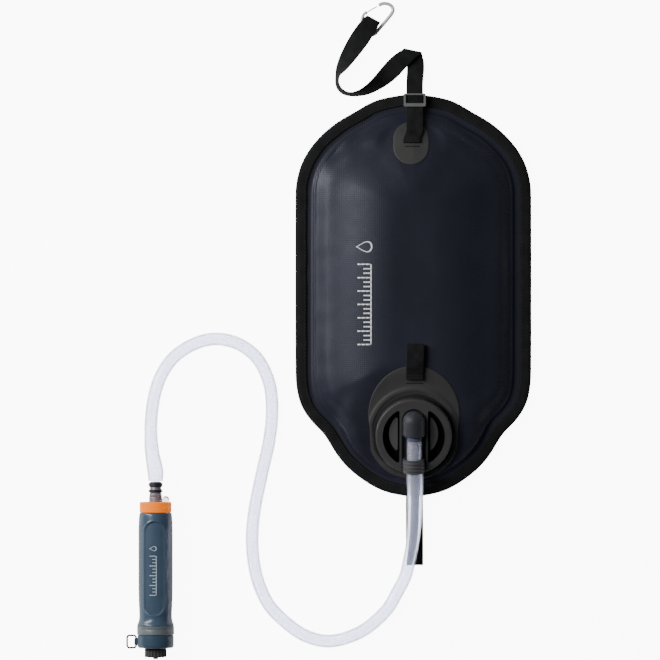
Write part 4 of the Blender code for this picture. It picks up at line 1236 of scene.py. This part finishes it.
def make_filter():
    place(make_filter_shell(), "root", "blue", "filter_blue", "filter_body")
    collar = [(6.6, -65.3)] + arc((14.9, -66.4), 1.1, 90, 0, 6) + [
        (16.0, -70.2), (15.75, -70.5), (15.75, -70.9), (16.0, -71.2), (16.0, -75.2), (15.6, -75.7),
        (14.6, -75.7), (14.6, -67.4), (6.6, -67.4),
    ]
    turned("collar", collar, FILTER_AXIS, "collar", "orange", "collar_orange", "nozzle_collar",
           closed=True)
    low, high = (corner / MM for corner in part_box("air_vent_plug"))
    vent_axis = Matrix.Translation(((low.x + high.x) / 2, 0, (low.z + high.z) / 2)) @ FILTER_TURN
    half = (high.x - low.x) / 2
    profile = [(0, low.y + 0.1), (half, low.y + 0.1)]
    profile += arc((0, high.y - half), half, 0, 90, 14)
    turned("vent_bump", profile, vent_axis, "collar", "vent", "vent_silicone", "air_vent_plug", steps=48)
    nozzle = [
        (3.4, -44.9), (5.2, -44.9), (5.6, -45.6), (5.9, -57), (6.2, -58.6), (6.8, -59.2), (6.2, -60.0),
        (6.4, -60.6), (6.6, -61.4), (6.6, -67.5), (13.9, -67.5), (13.9, -69.0), (3.4, -69.0),
    ]
    turned("nozzle", nozzle, FILTER_AXIS, "root", "nozzle", "nozzle_plastic", "inlet_nozzle",
           steps=96, closed=True)
    for name, high, low, node in (
        ("barb_front", -46.2, -50.2, "nozzle_ring_front"), ("barb_rear", -53.0, -55.8, "nozzle_ring_rear"),
    ):
        ring = [(4.8, high), (6.6, high), (7.0, high - 0.5), (7.0, low + 0.5), (6.6, low), (4.8, low)]
        turned(name, ring, FILTER_AXIS, "root", "barb", "seal_rubber", node, steps=96, closed=True)
    ring = [
        (15.5, -189.0), (18.2, -189.0), (18.62, -189.4), (18.62, -192.0), (18.5, -192.3), (18.62, -192.6),
        (18.62, -197.4), (18.2, -197.9), (15.5, -197.9),
    ]
    turned("grey_ring", ring, FILTER_AXIS, "root", "ring", "ring_grey", "body_ring", steps=160, closed=True)
    cup = [
        (15.7, -198.4), (17.7, -198.4), (18.15, -198.9), (18.2, -200), (18.2, -208.4), (18.0, -209.5),
        (17.5, -210.5), (16.6, -211.1), (6.4, -211.15), (6.4, -204.2), (15.7, -204.2),
    ]
    base = lathe("end_cup", cup, FILTER_AXIS, 160, closed=True)
    lug_axis = Matrix.Translation((-276.1, -204.8, FILTER_Z))
    combine(base, prism("lug", rounded_rectangle(3.0, 3.6, 1.2), -1.8, 1.8, lug_axis), "UNION")
    smoothed(base.data, 35)
    place(base, "cup", "cup", "cup_blue", "bottom_cup")
    low, high = (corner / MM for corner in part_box("lanyard_loop"))
    centre = (low + high) / 2
    half = (high - low) / 2 - Vector((0.7, 0.7, 0))
    points = [
        np.array((centre.x + x, centre.y + y, FILTER_Z))
        for x, y in rounded_rectangle(half.x, half.y, 2.4, 10)
    ]
    place(wire("lanyard_wire", points, 1.0, 14, closed=True), "loop", "cup", "nozzle_plastic",
          "lanyard_loop")
    make_plug()


def make_plug():
    flutes = 20
    rings = []
    for z, share in (
        (-211.6, 0.985), (-212.1, 1.0), (-219.5, 1.0), (-220.1, 0.985), (-220.4, 0.94), (-220.4, 0.4),
    ):
        ring = []
        for step in range(flutes * 10):
            turn = 2 * math.pi * step / (flutes * 10)
            groove = max(0.0, math.cos(flutes * turn)) ** 0.6
            reach = (10.1 + 0.85 * groove) * share
            ring.append(FILTER_AXIS @ Vector((reach * math.cos(turn), reach * math.sin(turn), z)))
        rings.append(ring)
    place(loft("fluted_plug", rings, smooth=50), "plug", "plug", "plug_black", "outlet_plug")
    nub = [(0, -222.4), (2.1, -222.4), (2.6, -221.9), (2.7, -220.2), (3.4, -219.9), (0, -219.9)]
    turned("plug_nub", nub, FILTER_AXIS, "plug", "plug", "plug_black", steps=40)


def dress_hidden_nodes():
    """CAD nodes that keep their shape, inside or behind the others."""
    for node, look in (
        ("neck_ring", "dark"), ("cap_gasket", "seal"), ("elbow_seal", "seal"), ("elbow_nut", "slider"),
        ("inlet_seal", "seal"), ("cup_seal", "seal"), ("plug_seal", "seal"), ("cartridge_sleeve", "sleeve"),
        ("inlet_screen", "sleeve"), ("fibre_bundle", "fibre"), ("potting_disc", "resin"),
        ("outlet_nipple", "nozzle"),
    ):
        data = frame["nodes"][node].data
        painted(data, LOOKS[look])
        smoothed(data, 35)


# ---------------------------------------------------------------- build

make_stage()
make_hose()
make_panel("front_fabric", front_height, FRONT_INSETS, 200, 46, 34.0, "front_panel")
make_panel("back_fabric", back_height, BACK_INSETS, 90, 16, 0.0, "back_panel")
make_binding()
make_patches()
make_print()
make_webbing()
make_cap()
make_hardware()
make_filter()
dress_hidden_nodes()
